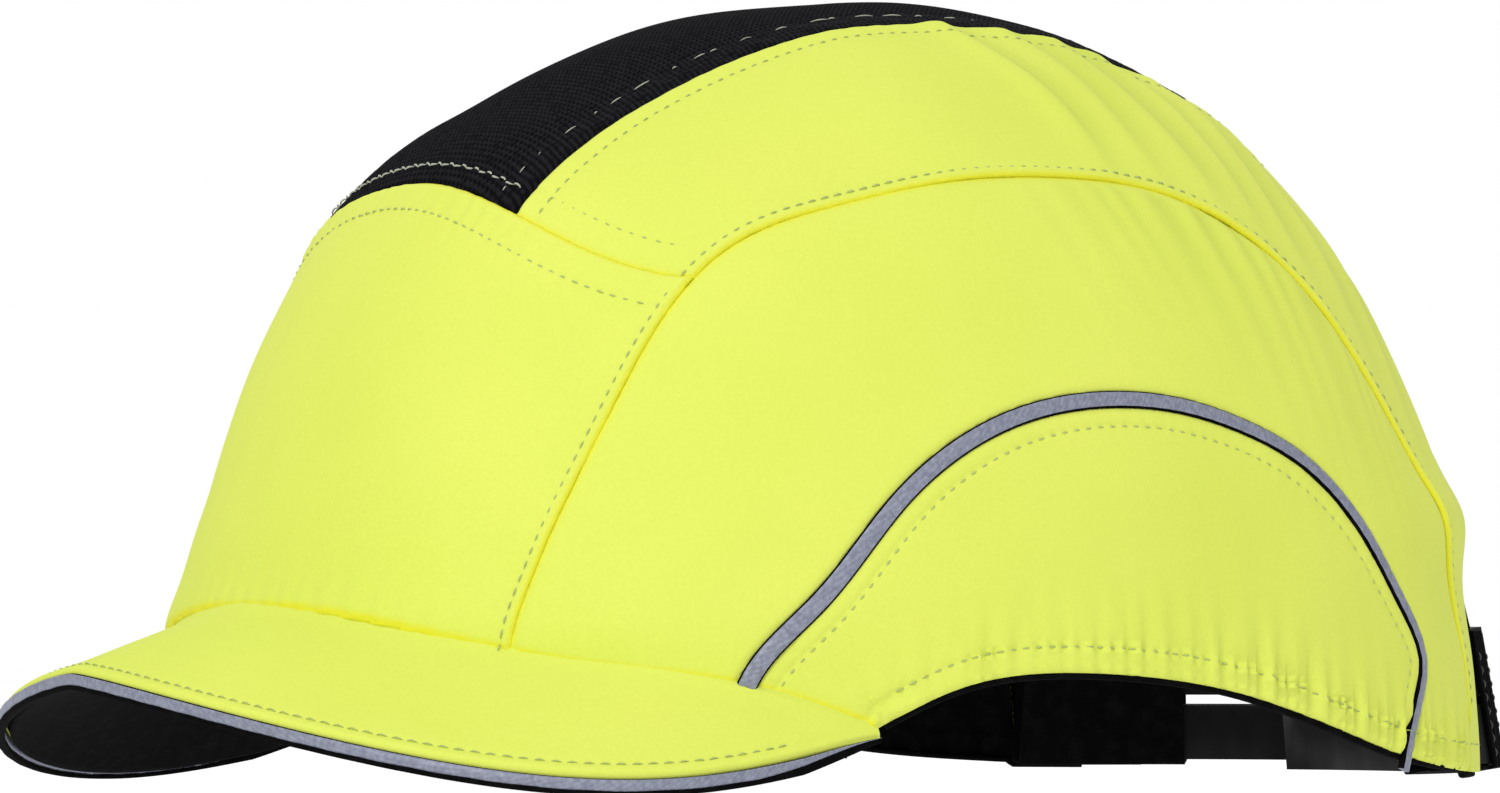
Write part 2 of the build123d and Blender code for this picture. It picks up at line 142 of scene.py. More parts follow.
def ramp(value, low, high):
    """0 at low, 1 at high, and smooth between."""
    t = np.clip((value - low) / (high - low), 0, 1)
    return t * t * (3 - 2 * t)


def hump(value, centre, width):
    return np.exp(-((value - centre) / width) ** 2)


# ---------------------------------------------------------------- seams, as lines on the crown

PEAK_SEAM_SIDE = [(-112, 30), (-105, 26.5), (-95, 21.8), (-80, 17.3), (-66, 15.3), (-46, 9)]
HEM_SIDE = [(-46, 9), (-33, 15), (-10, 17), (17, 13.8), (51, 5), (90, 1.2), (115, 1.2)]
SIDE_SEAM_PLAN = [(49, -90), (53, -78), (54, -62), (58, -40), (61, -8), (61.5, 40), (63, 60),
                  (60.5, 82)]
EAR_SIDE = [(-67, 5), (-63, 18), (-54, 28), (-41, 43), (-22, 55), (0, 58.5), (20, 55.5),
            (40, 45.5), (54, 30), (60.5, 18), (57, 10), (53, -2)]


def arc_through(a, b, c, count):
    """A circular arc through three points of a plane."""
    (ax, ay), (bx, by), (cx, cy) = a, b, c
    d = 2 * (ax * (by - cy) + bx * (cy - ay) + cx * (ay - by))
    aa, bb, cc = ax * ax + ay * ay, bx * bx + by * by, cx * cx + cy * cy
    u = (aa * (by - cy) + bb * (cy - ay) + cc * (ay - by)) / d
    v = (aa * (cx - bx) + bb * (ax - cx) + cc * (bx - ax)) / d
    start, end = atan2(ay - v, ax - u), atan2(cy - v, cx - u)
    if end - start > pi:
        end -= 2 * pi
    if start - end > pi:
        end += 2 * pi
    r = ((ax - u) ** 2 + (ay - v) ** 2) ** 0.5
    angles = np.linspace(start, end, count)
    return np.stack([u + r * np.cos(angles), v + r * np.sin(angles)], axis=1)


lower_side = np.concatenate([through(PEAK_SEAM_SIDE, 60), through(HEM_SIDE, 120)[1:]])
seam_plan = np.concatenate([through(SIDE_SEAM_PLAN, 120), [(60, 130)]])
front_side = arc_through((-77, 90), (-72, 79), (-60.5, 74.3), 60)
ear_side = through(EAR_SIDE, 140)


def lower_z(y):
    return np.interp(y, lower_side[:, 0], lower_side[:, 1])


def seam_x(y):
    """Half the width between the side seams."""
    front = np.interp(y, seam_plan[:, 1], seam_plan[:, 0])
    return np.where(y < -90, 49.0, front)


def side_line(points):
    """A line drawn in side view, on the crown's left."""
    return np.stack([x_at(points[:, 0], points[:, 1]), points[:, 0], points[:, 1]], axis=1)


def seam_lines():
    y = np.linspace(-89.5, 80, 400)
    side = np.stack([seam_x(y), y, z_at(seam_x(y), y)], axis=1)
    side = side[side[:, 2] > np.maximum(lower_z(y) - 1, 2)]
    x = x_at(front_side[:, 0], front_side[:, 1])
    half = np.linspace(0, FRONT_SEAM_X, 60)
    left = np.stack([half, np.interp(half, x, front_side[:, 0]),
                     np.interp(half, x, front_side[:, 1])], axis=1)
    front = np.concatenate([left[::-1] * (-1, 1, 1), left[1:]])
    y = np.linspace(-78, 100, 300)
    edge = np.stack([0 * y + MESH_HALF, y, z_at(0 * y + MESH_HALF, y)], axis=1)
    arch_z = ARCH_TOP * (1 - (MESH_HALF / ARCH_HALF) ** 2) ** 0.5
    edge = edge[(edge[:, 2] > arch_z) & (edge[:, 1] > np.interp(edge[:, 2], front_side[::-1, 1],
                                                               front_side[::-1, 0]))]
    return {"side": even(side, 1.5), "front": even(front, 1.5), "mesh": even(edge, 1.5)}


seams = seam_lines()
peak_line = even(side_line(through(PEAK_SEAM_SIDE, 200)), 1.5)
hem_line = even(side_line(through(HEM_SIDE[:-2] + [(78, 2.2)], 200)), 1.0)
ear_line = even(side_line(ear_side[ear_side[:, 1] > lower_z(ear_side[:, 0]) - 1.5]), 1.0)


def distance(points, line):
    """Each point's distance from a line, which has any number of dimensions."""
    best = np.full(len(points), 1e9)
    for p, q in zip(line, line[1:]):
        d = q - p
        t = np.clip((points - p) @ d / (d @ d), 0, 1)
        best = np.minimum(best, ((points - p - t[:, None] * d) ** 2).sum(axis=1))
    return np.sqrt(best)


def within(points, outline):
    """Which points of a plane lie inside a closed outline."""
    count = np.zeros(len(points), int)
    for p, q in zip(outline, np.roll(outline, -1, axis=0)):
        if p[1] != q[1]:
            between = (points[:, 1] > min(p[1], q[1])) & (points[:, 1] <= max(p[1], q[1]))
            at = p[0] + (points[:, 1] - p[1]) * (q[0] - p[0]) / (q[1] - p[1])
            count += between & (at > points[:, 0])
    return count % 2 == 1


def signed(points, outline):
    """Distance from an outline, positive inside it."""
    closed = np.concatenate([outline, outline[:1]])
    return distance(points, closed) * np.where(within(points, outline), 1, -1)


front_outline = np.concatenate([front_side, [(-58, -10), (-130, -10), (-130, 100), (-80, 100)]])

FIELDS = {
    "above": lambda p: p[:, 2] - lower_z(p[:, 1]),
    "front": lambda p: signed(p[:, 1:], front_outline),
    "behind": lambda p: -signed(p[:, 1:], front_outline),
    "centre": lambda p: seam_x(p[:, 1]) - np.abs(p[:, 0]),
    "side": lambda p: np.abs(p[:, 0]) - seam_x(p[:, 1]),
    "ear_inner": lambda p: signed(p[:, 1:], ear_side) - PIPING_W,
    "off_ear": lambda p: -signed(p[:, 1:], ear_side),
    "off_mesh": lambda p: np.abs(p[:, 0]) - MESH_HALF,
    "mesh": lambda p: MESH_HALF - np.abs(p[:, 0]),
    "off_arch": lambda p: np.where(p[:, 1] > 0, ARCH_TOP * (
        np.hypot(p[:, 0] / ARCH_HALF, p[:, 2] / ARCH_TOP) - 1), 99.0),
}


# ---------------------------------------------------------------- the fabric's relief

def waves(p, scale, seed):
    """Smooth uneven waves, about -1 to 1, with a wavelength of about scale."""
    rng = np.random.default_rng(seed)
    total = np.zeros(len(p))
    for _ in range(7):
        way = rng.normal(size=3)
        way /= np.linalg.norm(way)
        total += np.sin(p @ way * 2 * pi / (scale * rng.uniform(0.7, 1.5)) + rng.uniform(0, 6.3))
    return total / 3.2


def round_share(p):
    """How far a point is to the front (-1) or the rear (1), as a share of the crown there."""
    return p[:, 1] / (B * plan_level(p[:, 2]) ** (1 / PLAN) + 1e-6)


# How far the fabric stands off, at what height, and over how much of it
FRONT_HUMPS = ((1.9, 23, 7), (-1.4, 50, 9), (1.6, 86, 11), (-1.5, 109, 7))
REAR_HUMPS = ((0.9, 103, 7), (-1.3, 64, 11), (1.9, 41, 6), (-0.5, 27, 6))
DEEPEST = 0.85              # how far it can sink below the even crown


def relief(p):
    """Where the sewn fabric stands off the even crown: fuller or flatter, at front and rear."""
    z = p[:, 2]
    share = round_share(p)
    ahead, behind = ramp(-share, 0.4, 0.8), ramp(share, 0.4, 0.8)
    front, rear = (sum(size * hump(z, centre, width) for size, centre, width in humps)
                   for humps in (FRONT_HUMPS, REAR_HUMPS))
    top = 1.0 * hump(p[:, 1], 8, 15) * hump(p[:, 0], 0, 30) * ramp(z, 90, 110)
    total = ahead * front + behind * rear + top + 0.22 * waves(p, 46, 3)
    return np.where(total < 0, DEEPEST * np.tanh(total / DEEPEST), total)


# Where each fold crosses the top, and how strong it is
FOLDS = ((0, 1.25), (10.5, 1.05), (20, 1.2), (29.5, 1.0), (39, 1.1), (49, 0.9), (60, 0.8),
         (72, 0.6))
FOLD_HEIGHT = 0.62


def rest_height(p, seed):
    """The relief with the cloth's own fine unevenness."""
    return relief(p) + 0.15 * waves(p, 24, seed)


def cross_folds(p):
    """Soft folds across the crown's rear half, and the shade behind each, which is painted into the cloth's
    colour.
    """
    total, shade = np.zeros(len(p)), np.zeros(len(p))
    across = np.abs(p[:, 0])
    for i, (y, strength) in enumerate(FOLDS):
        line = y + 0.3 * (across - 29) + 0.8 * np.sin(across * 0.16 + 2.1 * i)
        width = 2.5 + 0.4 * (i % 3)
        d = p[:, 1] - line
        total += strength * np.exp(-(d / np.where(d > 0, 0.7, 1.5) / width) ** 2)
        d = d - 1.1 * width
        shade += strength * np.exp(-(d / np.where(d > 0, 1.3, 0.8) / width) ** 2)
    where = ramp(p[:, 2], 20, 60) * (1 - 0.85 * ramp(across, 50, 62))
    return FOLD_HEIGHT * total * where, shade * where


def gathers(along, pitch, seed):
    """Small uneven puckers along a sewn line; along is each point's place on that line."""
    uneven = along + 0.35 * pitch * waves(np.stack([along, 0 * along, 0 * along], axis=1),
                                          pitch * 3.1, seed)
    size = 0.65 + 0.35 * waves(np.stack([along, 0 * along + 7, 0 * along], axis=1), pitch * 6, seed)
    return size * np.sin(uneven * 2 * pi / pitch)


def rolled(d, upper):
    """The section of a seam at a distance from it: the upper panel folds over the lower one."""
    if upper:
        return 0.4 * hump(d, 0.8, 1.3) - 0.4 * hump(d, 0, 0.4)
    return -0.4 * hump(d, 0, 1.0)


def stitch_groove(d, at):
    return -0.16 * hump(d, at, 0.45)


# ---------------------------------------------------------------- meshes

def patch(turns, elevations):
    """A grid on the crown, as points and triangles."""
    turn, rise = np.meshgrid(np.radians(turns), np.radians(elevations), indexing="ij")
    way = np.stack([A * np.cos(turn) * np.cos(rise), B * np.sin(turn) * np.cos(rise),
                    H * np.sin(rise)], axis=-1).reshape(-1, 3)
    return on_crown(way), grid_faces(len(turns), len(elevations))


def grid_faces(rows, columns):
    """Triangles of a grid."""
    i, j = np.meshgrid(np.arange(rows - 1), np.arange(columns - 1), indexing="ij")
    a, b = i * columns + j, (i + 1) * columns + j
    first = np.stack([a, b, b + 1], axis=-1).reshape(-1, 3)
    return np.concatenate([first, np.stack([a, b + 1, a + 1], axis=-1).reshape(-1, 3)])


def cut_along(points, faces, value, both):
    """Triangles cut where value is zero; both keeps both sides, and otherwise the positive one."""
    value = np.where(np.abs(value) < 0.04, 0.04 if both else -1e-4, value)
    side = value > 0
    count = side[faces].sum(axis=1)
    kept = faces[(count == 3) | (both & (count == 0))]
    made, added, cuts = [], [], {}

    def cut(i, j):
        key = (min(i, j), max(i, j))
        if key not in cuts:
            share = value[i] / (value[i] - value[j])
            added.append(points[i] + (points[j] - points[i]) * share)
            cuts[key] = len(points) + len(added) - 1
        return cuts[key]

    for face in faces[(count > 0) & (count < 3)].tolist():
        sides = [bool(side[i]) for i in face]
        lone = sides.index(sum(sides) == 1)
        a, b, c = face[lone], face[lone - 2], face[lone - 1]
        ab, ac = cut(a, b), cut(a, c)
        if side[a] or both:
            made.append((a, ab, ac))
        if not side[a] or both:
            made += [(ab, b, c), (ab, c, ac)]
    if added:
        points = np.concatenate([points, np.array(added)])
    if made:
        kept = np.concatenate([kept, np.array(made)])
    return packed(points, kept)


def packed(points, faces):
    """Only the points that the faces use."""
    used, where = np.unique(faces, return_inverse=True)
    return points[used], where.reshape(faces.shape)


def border(faces):
    """The directed edges that only one triangle has."""
    edges = np.concatenate([faces[:, [0, 1]], faces[:, [1, 2]], faces[:, [2, 0]]])
    key = np.sort(edges, axis=1)
    _, first, count = np.unique(key, axis=0, return_index=True, return_counts=True)
    return edges[first[count == 1]]


def closed_layer(outer, inner, faces):
    """Outer and inner skins joined round their border, and which faces are inner ones."""
    n = len(outer)
    rim = border(faces)
    walls = np.concatenate([np.stack([rim[:, 1], rim[:, 0], rim[:, 0] + n], axis=1),
                            np.stack([rim[:, 1], rim[:, 0] + n, rim[:, 1] + n], axis=1)])
    everything = np.concatenate([faces, walls, faces[:, ::-1] + n])
    is_inner = np.zeros(len(everything), int)
    is_inner[len(faces) + len(walls):] = 1
    return np.concatenate([outer, inner]), everything, is_inner


def add_piece(name, points, faces, slots, materials, slot, smooth=True):
    """A mesh object from points in millimetres about the crown's centre, riding on the root.

    slots is each face's place in the list of materials, or None where there is only one.
    """
    mesh = bpy.data.meshes.new(name)
    placed = (np.asarray(points) + (0, CROWN_Y, 0)) * MM
    mesh.from_pydata(placed.tolist(), [], np.asarray(faces).tolist())
    for material in materials:
        mesh.materials.append(material)
    if slots is not None:
        mesh.polygons.foreach_set("material_index", np.asarray(slots, np.int32))
    mesh.polygons.foreach_set("use_smooth", np.full(len(mesh.polygons), smooth))
    mesh.update()
    piece = bpy.data.objects.new(name, mesh)
    bpy.context.scene.collection.objects.link(piece)
    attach(piece, "root")
    return piece


def joined(parts):
    """Several meshes, each points and faces, as one."""
    points, faces, start = [], [], 0
    for p, f in parts:
        points.append(p)
        faces.append(np.asarray(f) + start)
        start += len(p)
    return np.concatenate(points), np.concatenate(faces)


def frames(line, normals):
    """Up and across at each point of a line that has normals."""
    along = np.gradient(line, axis=0)
    along /= np.linalg.norm(along, axis=1)[:, None]
    across = np.cross(along, normals)
    across /= np.linalg.norm(across, axis=1)[:, None]
    return np.cross(across, along), across


def tube_faces(rings, size):
    """Triangles of a tube of closed rings, with flat ends."""
    faces = []
    for i in range(rings - 1):
        for j in range(size):
            a, b = i * size + j, i * size + (j + 1) % size
            faces += [(a, b, b + size), (a, b + size, a + size)]
    last = (rings - 1) * size
    for j in range(1, size - 1):
        faces += [(0, j + 1, j), (last, last + j, last + j + 1)]
    return np.array(faces)


def swept(line, normals, profile):
    """A closed profile (across, up) carried along a line, with flat ends."""
    up, across = frames(line, normals)
    rings = []
    for i, centre in enumerate(line):
        section = profile(i) if callable(profile) else profile
        rings.append([centre + across[i] * a + up[i] * u for a, u in section])
    return np.array(rings).reshape(-1, 3), tube_faces(len(rings), len(rings[0]))


def stitch_mesh(line, normals, pitch, length, radius, lift=0.05, uneven=0.0):
    """Thread along a line: short stitches that dip into the cloth at both ends."""
    rng = np.random.default_rng(17)
    fine = even(np.concatenate([line, normals], axis=1), 0.2)
    run = np.concatenate([[0], np.cumsum(np.linalg.norm(np.diff(fine[:, :3], axis=0), axis=1))])
    count = int((run[-1] - length) / pitch)
    parts = []
    for i in range(count):
        start = pitch * (i + 0.3 + uneven * rng.uniform(-0.35, 0.35))
        places = start + np.linspace(0, length * (1 + uneven * rng.uniform(-0.7, 0.6)), 6)
        spot = np.stack([np.interp(places, run, fine[:, k]) for k in range(6)], axis=1)
        centre, up = spot[:, :3], spot[:, 3:]
        arch = np.sin(np.linspace(0, pi, 6))
        centre = centre + up * (lift - 0.22 + 0.3 * arch * (1 - 0.6 * uneven))[:, None]
        up, across = frames(centre, up)
        thick = radius * (0.45 + 0.55 * arch)
        ring = np.linspace(0, 2 * pi, 6, endpoint=False)
        tube = (centre[:, None] + across[:, None] * (np.cos(ring) * thick[:, None])[..., None]
                + up[:, None] * (np.sin(ring) * thick[:, None])[..., None])
        parts.append((tube.reshape(-1, 3), tube_faces(6, 6)))
    return joined(parts)


# ---------------------------------------------------------------- materials

class Nodes:
    """A material's node tree, with short calls for its nodes and links."""

    def __init__(self, name, roughness=0.8, metallic=0.0, sheen=0.0, specular=0.5):
        self.material = bpy.data.materials.new(name)
        self.material.use_nodes = True
        self.tree = self.material.node_tree
        self.shader = self.tree.nodes["Principled BSDF"]
        self.shader.inputs["Roughness"].default_value = roughness
        self.shader.inputs["Metallic"].default_value = metallic
        self.shader.inputs["Sheen Weight"].default_value = sheen
        self.shader.inputs["Specular IOR Level"].default_value = specular
        self.place = self.add("ShaderNodeTexCoord").outputs["Object"]

    def add(self, kind, **values):
        """A new node, with values for its inputs."""
        node = self.tree.nodes.new(kind)
        for key, value in values.items():
            node.inputs[key].default_value = value
        return node

    def link(self, source, target):
        self.tree.links.new(source, target)

    def scaled(self, x, y=None, z=None, turn=(0, 0, 0)):
        """Object coordinates, stretched and turned."""
        mapping = self.add("ShaderNodeMapping")
        mapping.inputs["Scale"].default_value = (x, x if y is None else y, x if z is None else z)
        mapping.inputs["Rotation"].default_value = [radians(t) for t in turn]
        self.link(self.place, mapping.inputs["Vector"])
        return mapping.outputs["Vector"]

    def noise(self, scale, detail=3.0, vector=None):
        node = self.add("ShaderNodeTexNoise", Scale=scale, Detail=detail)
        self.link(vector or self.place, node.inputs["Vector"])
        return node.outputs["Fac"]

    def wave(self, scale, vector, direction="X", distortion=0.0):
        node = self.add("ShaderNodeTexWave", Scale=scale, Distortion=distortion)
        node.bands_direction = direction
        node.inputs["Detail Scale"].default_value = 4.0
        self.link(vector, node.inputs["Vector"])
        return node.outputs["Fac"]

    def cells(self, scale, vector=None):
        node = self.add("ShaderNodeTexVoronoi", Scale=scale)
        self.link(vector or self.place, node.inputs["Vector"])
        return node.outputs["Distance"]

    def math(self, operation, a, b):
        node = self.add("ShaderNodeMath")
        node.operation = operation
        for slot, value in zip(node.inputs, (a, b)):
            if isinstance(value, (int, float)):
                slot.default_value = value
            else:
                self.link(value, slot)
        return node.outputs["Value"]

    def blend(self, share, first, second):
        """A colour between two, or between an output and a colour."""
        node = self.add("ShaderNodeMix")
        node.data_type = "RGBA"
        self.link(share, node.inputs["Factor"])
        for key, value in (("A", first), ("B", second)):
            slot = [s for s in node.inputs if s.name == key and s.type == "RGBA"][0]
            if isinstance(value, tuple):
                slot.default_value = (*value, 1)
            else:
                self.link(value, slot)
        return [s for s in node.outputs if s.type == "RGBA"][0]

    def steps(self, value, low, high):
        """A value stretched from low..high to 0..1."""
        node = self.add("ShaderNodeMapRange")
        node.inputs["From Min"].default_value = low
        node.inputs["From Max"].default_value = high
        self.link(value, node.inputs["Value"])
        return node.outputs["Result"]

    def colour(self, value):
        if isinstance(value, tuple):
            self.shader.inputs["Base Color"].default_value = (*value, 1)
        else:
            self.link(value, self.shader.inputs["Base Color"])

    def bump(self, height, strength, reach_mm):
        node = self.add("ShaderNodeBump", Strength=strength)
        node.inputs["Distance"].default_value = reach_mm * MM
        self.link(height, node.inputs["Height"])
        normals = self.shader.inputs["Normal"]
        if normals.is_linked:
            self.link(normals.links[0].from_socket, node.inputs["Normal"])
        self.link(node.outputs["Normal"], normals)

    def rough(self, value):
        self.link(value, self.shader.inputs["Roughness"])


def softshell(name, light, deep):
    """Fluorescent woven softshell: a fine slanted weave, a faint bloom and uneven dye, with painted shade
    along the seams, behind the crown's folds and between the side's ruffles.
    """
    n = Nodes(name, roughness=0.85, sheen=0.03, specular=0.12)
    warp = n.wave(900, n.scaled(1, turn=(0, 35, 40)), "X", 1.2)
    weft = n.wave(900, n.scaled(1, turn=(55, 0, -35)), "Z", 1.2)
    weave = n.math("MULTIPLY", warp, weft)
    dye = n.steps(n.noise(26, 4), 0.35, 0.65)
    grain = n.steps(n.noise(1700, 2), 0.3, 0.7)
    cloth = n.blend(dye, light, deep)
    threads = n.blend(n.math("MULTIPLY", grain, 0.22), cloth, tuple(0.86 * c for c in deep))
    # painted shade: a deeper, more saturated yellow along the seams, from each point's distance to the seam
    seam_shade = n.add("ShaderNodeAttribute")
    seam_shade.attribute_name = "seam_shade"
    fold = n.math("MULTIPLY", seam_shade.outputs["Fac"], 0.85)
    # painted shade: the cloth turns darker olive behind the crown's folds and between the side's ruffles
    painted_shade = n.add("ShaderNodeAttribute")
    painted_shade.attribute_name = "painted_shade"
    shaded = n.blend(n.math("MULTIPLY", painted_shade.outputs["Fac"], 0.16), threads, (0.3, 0.42, 0.03))
    n.colour(n.blend(fold, shaded, (0.8, 0.76, 0.02)))
    n.bump(weave, 0.25, 0.05)
    n.bump(grain, 0.2, 0.05)
    n.bump(n.noise(160, 3), 0.3, 0.22)
    n.rough(n.steps(n.math("ADD", 0.7, n.math("MULTIPLY", grain, 0.2)), 0, 1))
    return n.material


def knit(name):
    """Black ribbed spacer mesh: knitted rows across the ribs, with small dark holes."""
    n = Nodes(name, roughness=0.9, sheen=0.01, specular=0.06)
    rows = n.wave(340, n.scaled(1), "Y", 0.6)
    loops = n.cells(900, n.scaled(1, 0.6, 0.6))
    n.colour(n.blend(n.steps(n.math("MULTIPLY", rows, loops), 0.05, 0.5), (0.002, 0.002, 0.003),
                     (0.011, 0.0105, 0.013)))
    n.bump(rows, 0.6, 0.15)
    n.bump(loops, 0.5, 0.1)
    return n.material


def black_cloth(name, shade=0.012, sheen=0.2, scale=700):
    """Black woven or brushed cloth."""
    n = Nodes(name, roughness=0.95, sheen=sheen, specular=0.02)
    warp, weft = (n.wave(scale, n.scaled(1), way, 1.0) for way in "XZ")
    threads = n.math("MULTIPLY", warp, weft)
    lint = n.steps(n.noise(420, 4), 0.45, 0.75)
    n.colour(n.blend(lint, (shade, shade, shade * 1.1), (shade * 2, shade * 1.95, shade * 2.1)))
    n.bump(threads, 0.5, 0.08)
    n.bump(n.noise(220, 3), 0.3, 0.12)
    return n.material


def reflective(name):
    """Silver reflective tape: glass beads on a grey weave."""
    n = Nodes(name, roughness=0.5, metallic=0.2, specular=0.35)
    beads = n.cells(2600)
    weave = n.wave(750, n.scaled(1, turn=(20, 30, 45)), "X", 2.0)
    speck = n.steps(n.noise(1300, 3), 0.35, 0.65)
    base = n.blend(speck, (0.2, 0.215, 0.285), (0.3, 0.32, 0.4))
    n.colour(n.blend(n.math("MULTIPLY", weave, 0.35), base, (0.16, 0.17, 0.225)))
    n.bump(beads, 0.35, 0.03)
    n.bump(weave, 0.3, 0.05)
    return n.material


def thread(name, shade):
    n = Nodes(name, roughness=0.6, sheen=0.2, specular=0.4)
    twist = n.wave(2600, n.scaled(1, turn=(30, 40, 20)), "X", 0.5)
    n.colour(n.blend(twist, tuple(0.75 * c for c in shade), shade))
    n.bump(twist, 0.6, 0.05)
    return n.material


def foam(name):
    """Charcoal foam with open cells."""
    n = Nodes(name, roughness=0.95, specular=0.15)
    pores = n.steps(n.cells(900), 0.1, 0.5)
    n.colour(n.blend(pores, (0.012, 0.012, 0.014), (0.05, 0.05, 0.055)))
    n.bump(pores, 0.7, 0.25)
    n.bump(n.noise(90, 3), 0.3, 0.3)
    return n.material


def moulded(name, shade, roughness=0.4, grain=0.25, wear=0.06, gloss=0.5):
    """Moulded plastic: fine spark texture, uneven gloss, and paler where hands rub it."""
    n = Nodes(name, roughness=roughness, specular=gloss)
    spark = n.noise(1500, 4)
    haze = n.steps(n.noise(60, 4), 0.4, 0.7)
    edges = n.add("ShaderNodeNewGeometry").outputs["Pointiness"]
    rubbed = n.steps(edges, 0.52, 0.62)
    worn = n.math("MULTIPLY", rubbed, haze)
    pale = tuple(c + wear for c in shade)
    n.colour(n.blend(worn, shade, pale))
    n.bump(spark, grain, 0.04)
    n.rough(n.math("ADD", roughness - 0.06, n.math("MULTIPLY", haze, 0.16)))
    return n.material


def steel(name):
    n = Nodes(name, roughness=0.28, metallic=1.0)
    brushed = n.noise(900, 3, n.scaled(1, 12, 1))
    n.colour(n.blend(brushed, (0.5, 0.5, 0.52), (0.68, 0.68, 0.7)))
    n.bump(brushed, 0.2, 0.02)
    n.rough(n.math("ADD", 0.2, n.math("MULTIPLY", brushed, 0.2)))
    return n.material


def woven_label(name):
    n = Nodes(name, roughness=0.7, sheen=0.3)
    satin = n.wave(1100, n.scaled(1), "Z", 0.3)
    n.colour(n.blend(satin, (0.62, 0.62, 0.6), (0.78, 0.78, 0.76)))
    n.bump(satin, 0.4, 0.05)
    return n.material


YELLOW = softshell("yellow_softshell", (0.725, 0.8, 0.13), (0.69, 0.78, 0.115))
KNIT = knit("black_knit")
LINING = black_cloth("black_lining", 0.003, 0.005)
BLACK_TRIM = black_cloth("black_trim", 0.003, 0.005, 900)
TERRY = black_cloth("sweatband_cloth", 0.007, 0.08, 500)
SILVER = reflective("silver_reflective")
PALE_THREAD = thread("pale_thread", (0.52, 0.6, 0.2))
WHITE_THREAD = thread("white_thread", (0.5, 0.54, 0.42))
BLACK_THREAD = thread("black_thread", (0.05, 0.05, 0.055))
FOAM = foam("charcoal_foam")
LABEL = woven_label("woven_label")


# ---------------------------------------------------------------- fabric panels

def crown_grid(turns, elevations):
    """A grid over part of the crown, its points about GRID apart."""
    columns = int(abs(turns[1] - turns[0]) / 360 * 600 / GRID) + 1
    rows = int((elevations[1] - elevations[0]) / 90 * 176 / GRID) + 1
    return patch(np.linspace(*turns, columns), np.linspace(*elevations, rows))


def near(p, line, reach=9):
    """Distance from a line, exact only within reach of it."""
    low, high = line.min(axis=0) - reach, line.max(axis=0) + reach
    close = ((p > low) & (p < high)).all(axis=1)
    d = np.full(len(p), 99.0)
    d[close] = distance(p[close], line)
    return d


def cut_panel(points, faces, fields, rows):
    """A grid cut to the fields that bound a panel, with rows of points along its seams."""
    for field in fields:
        value = FIELDS[field](points)
        points, faces = cut_along(points, faces, value, False)
        points = on_crown(points)
    for line, gaps in rows:
        for gap in gaps:
            points, faces = cut_along(points, faces, near(points, line) - gap, True)
            points = on_crown(points)
    return points, faces


# How far from each kind of seam the rows of points lie
SEAM_ROWS = (0.35, 0.8, 1.25, 2.0)
UNDER_ROWS = (0.45, 1.0, 1.8)
PEAK_ROWS = (0.6, 1.3, 1.9)
HEM_ROWS = (0.4, 0.9, 3.3, 3.8, 4.3)
PIPING_ROWS = tuple(PIPING_W + gap for gap in (0.4, 1.0, 2.3, 2.8, 3.3))


def mirror_line(line, side):
    return line * (side, 1, 1)


def hand(side):
    return "left" if side > 0 else "right"


PAINTED_RUFFLE_SHADE = 1.6          # strength of the painted shade between the side's ruffles


def point_values(piece, name, values):
    """A value for each point of a panel's outer skin, and the same for its inner skin."""
    attribute = piece.data.attributes.new(name, "FLOAT", "POINT")
    attribute.data.foreach_set("value", np.tile(values, 2).astype(np.float32))


def skins(points, faces, height):
    """A cloth's outer and inner skins, at a height above the crown, and which faces are inner."""
    ups = outwards(points)
    height = np.maximum(height, FLOOR)
    outer = points + ups * height[:, None]
    inner = points + ups * np.maximum(height - THICK, FLOOR - THINNEST)[:, None]
    return closed_layer(outer, inner, faces)


def panel_piece(name, points, faces, height, node, to_seam, shade=None):
    """A panel's cloth, thick enough to see at its edges, with its lining inside."""
    piece = add_piece(name, *skins(points, faces, height), [YELLOW, LINING], "yellow_fabric")
    # painted shade along the seams, tinting the cloth a deeper yellow
    point_values(piece, "seam_shade", hump(to_seam, 0, 0.4))
    # painted shade behind the folds and between the ruffles, darkening the cloth's colour
    point_values(piece, "painted_shade", np.zeros(len(points)) if shade is None else np.clip(shade, 0, 1))
    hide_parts(node)


def flipped(faces, side):
    return faces if side > 0 else faces[:, ::-1]


def front_panel():
    points, faces = crown_grid((-148, -32), (0, 62))
    lines = [(seams["front"], SEAM_ROWS), (seams["side"], SEAM_ROWS),
             (mirror_line(seams["side"], -1), SEAM_ROWS), (peak_line, PEAK_ROWS),
             (mirror_line(peak_line, -1), PEAK_ROWS)]
    points, faces = cut_panel(points, faces, ("above", "front", "centre"), lines)
    to_front = near(points, seams["front"])
    to_side = np.minimum(near(points, seams["side"]),
                         near(points, mirror_line(seams["side"], -1)))
    to_peak = points[:, 2] - lower_z(points[:, 1])
    height = rest_height(points, 11)
    height += rolled(to_front, True) + rolled(to_side, True)
    height += stitch_groove(to_front, FRONT_STITCH) + stitch_groove(to_side, SIDE_STITCH)
    height += 0.13 * gathers(points[:, 0], 3.4, 5) * hump(to_front, 3, 4)
    height += 0.1 * gathers(points[:, 0], 4.6, 6) * hump(to_peak, 2, 5)
    height -= 0.5 * hump(to_peak, 0, 0.9)
    to_seam = np.minimum(np.minimum(to_front, to_side), np.maximum(to_peak - 1.0, 0))
    panel_piece("front_panel_cloth", points, faces, height, "front_panel", to_seam)


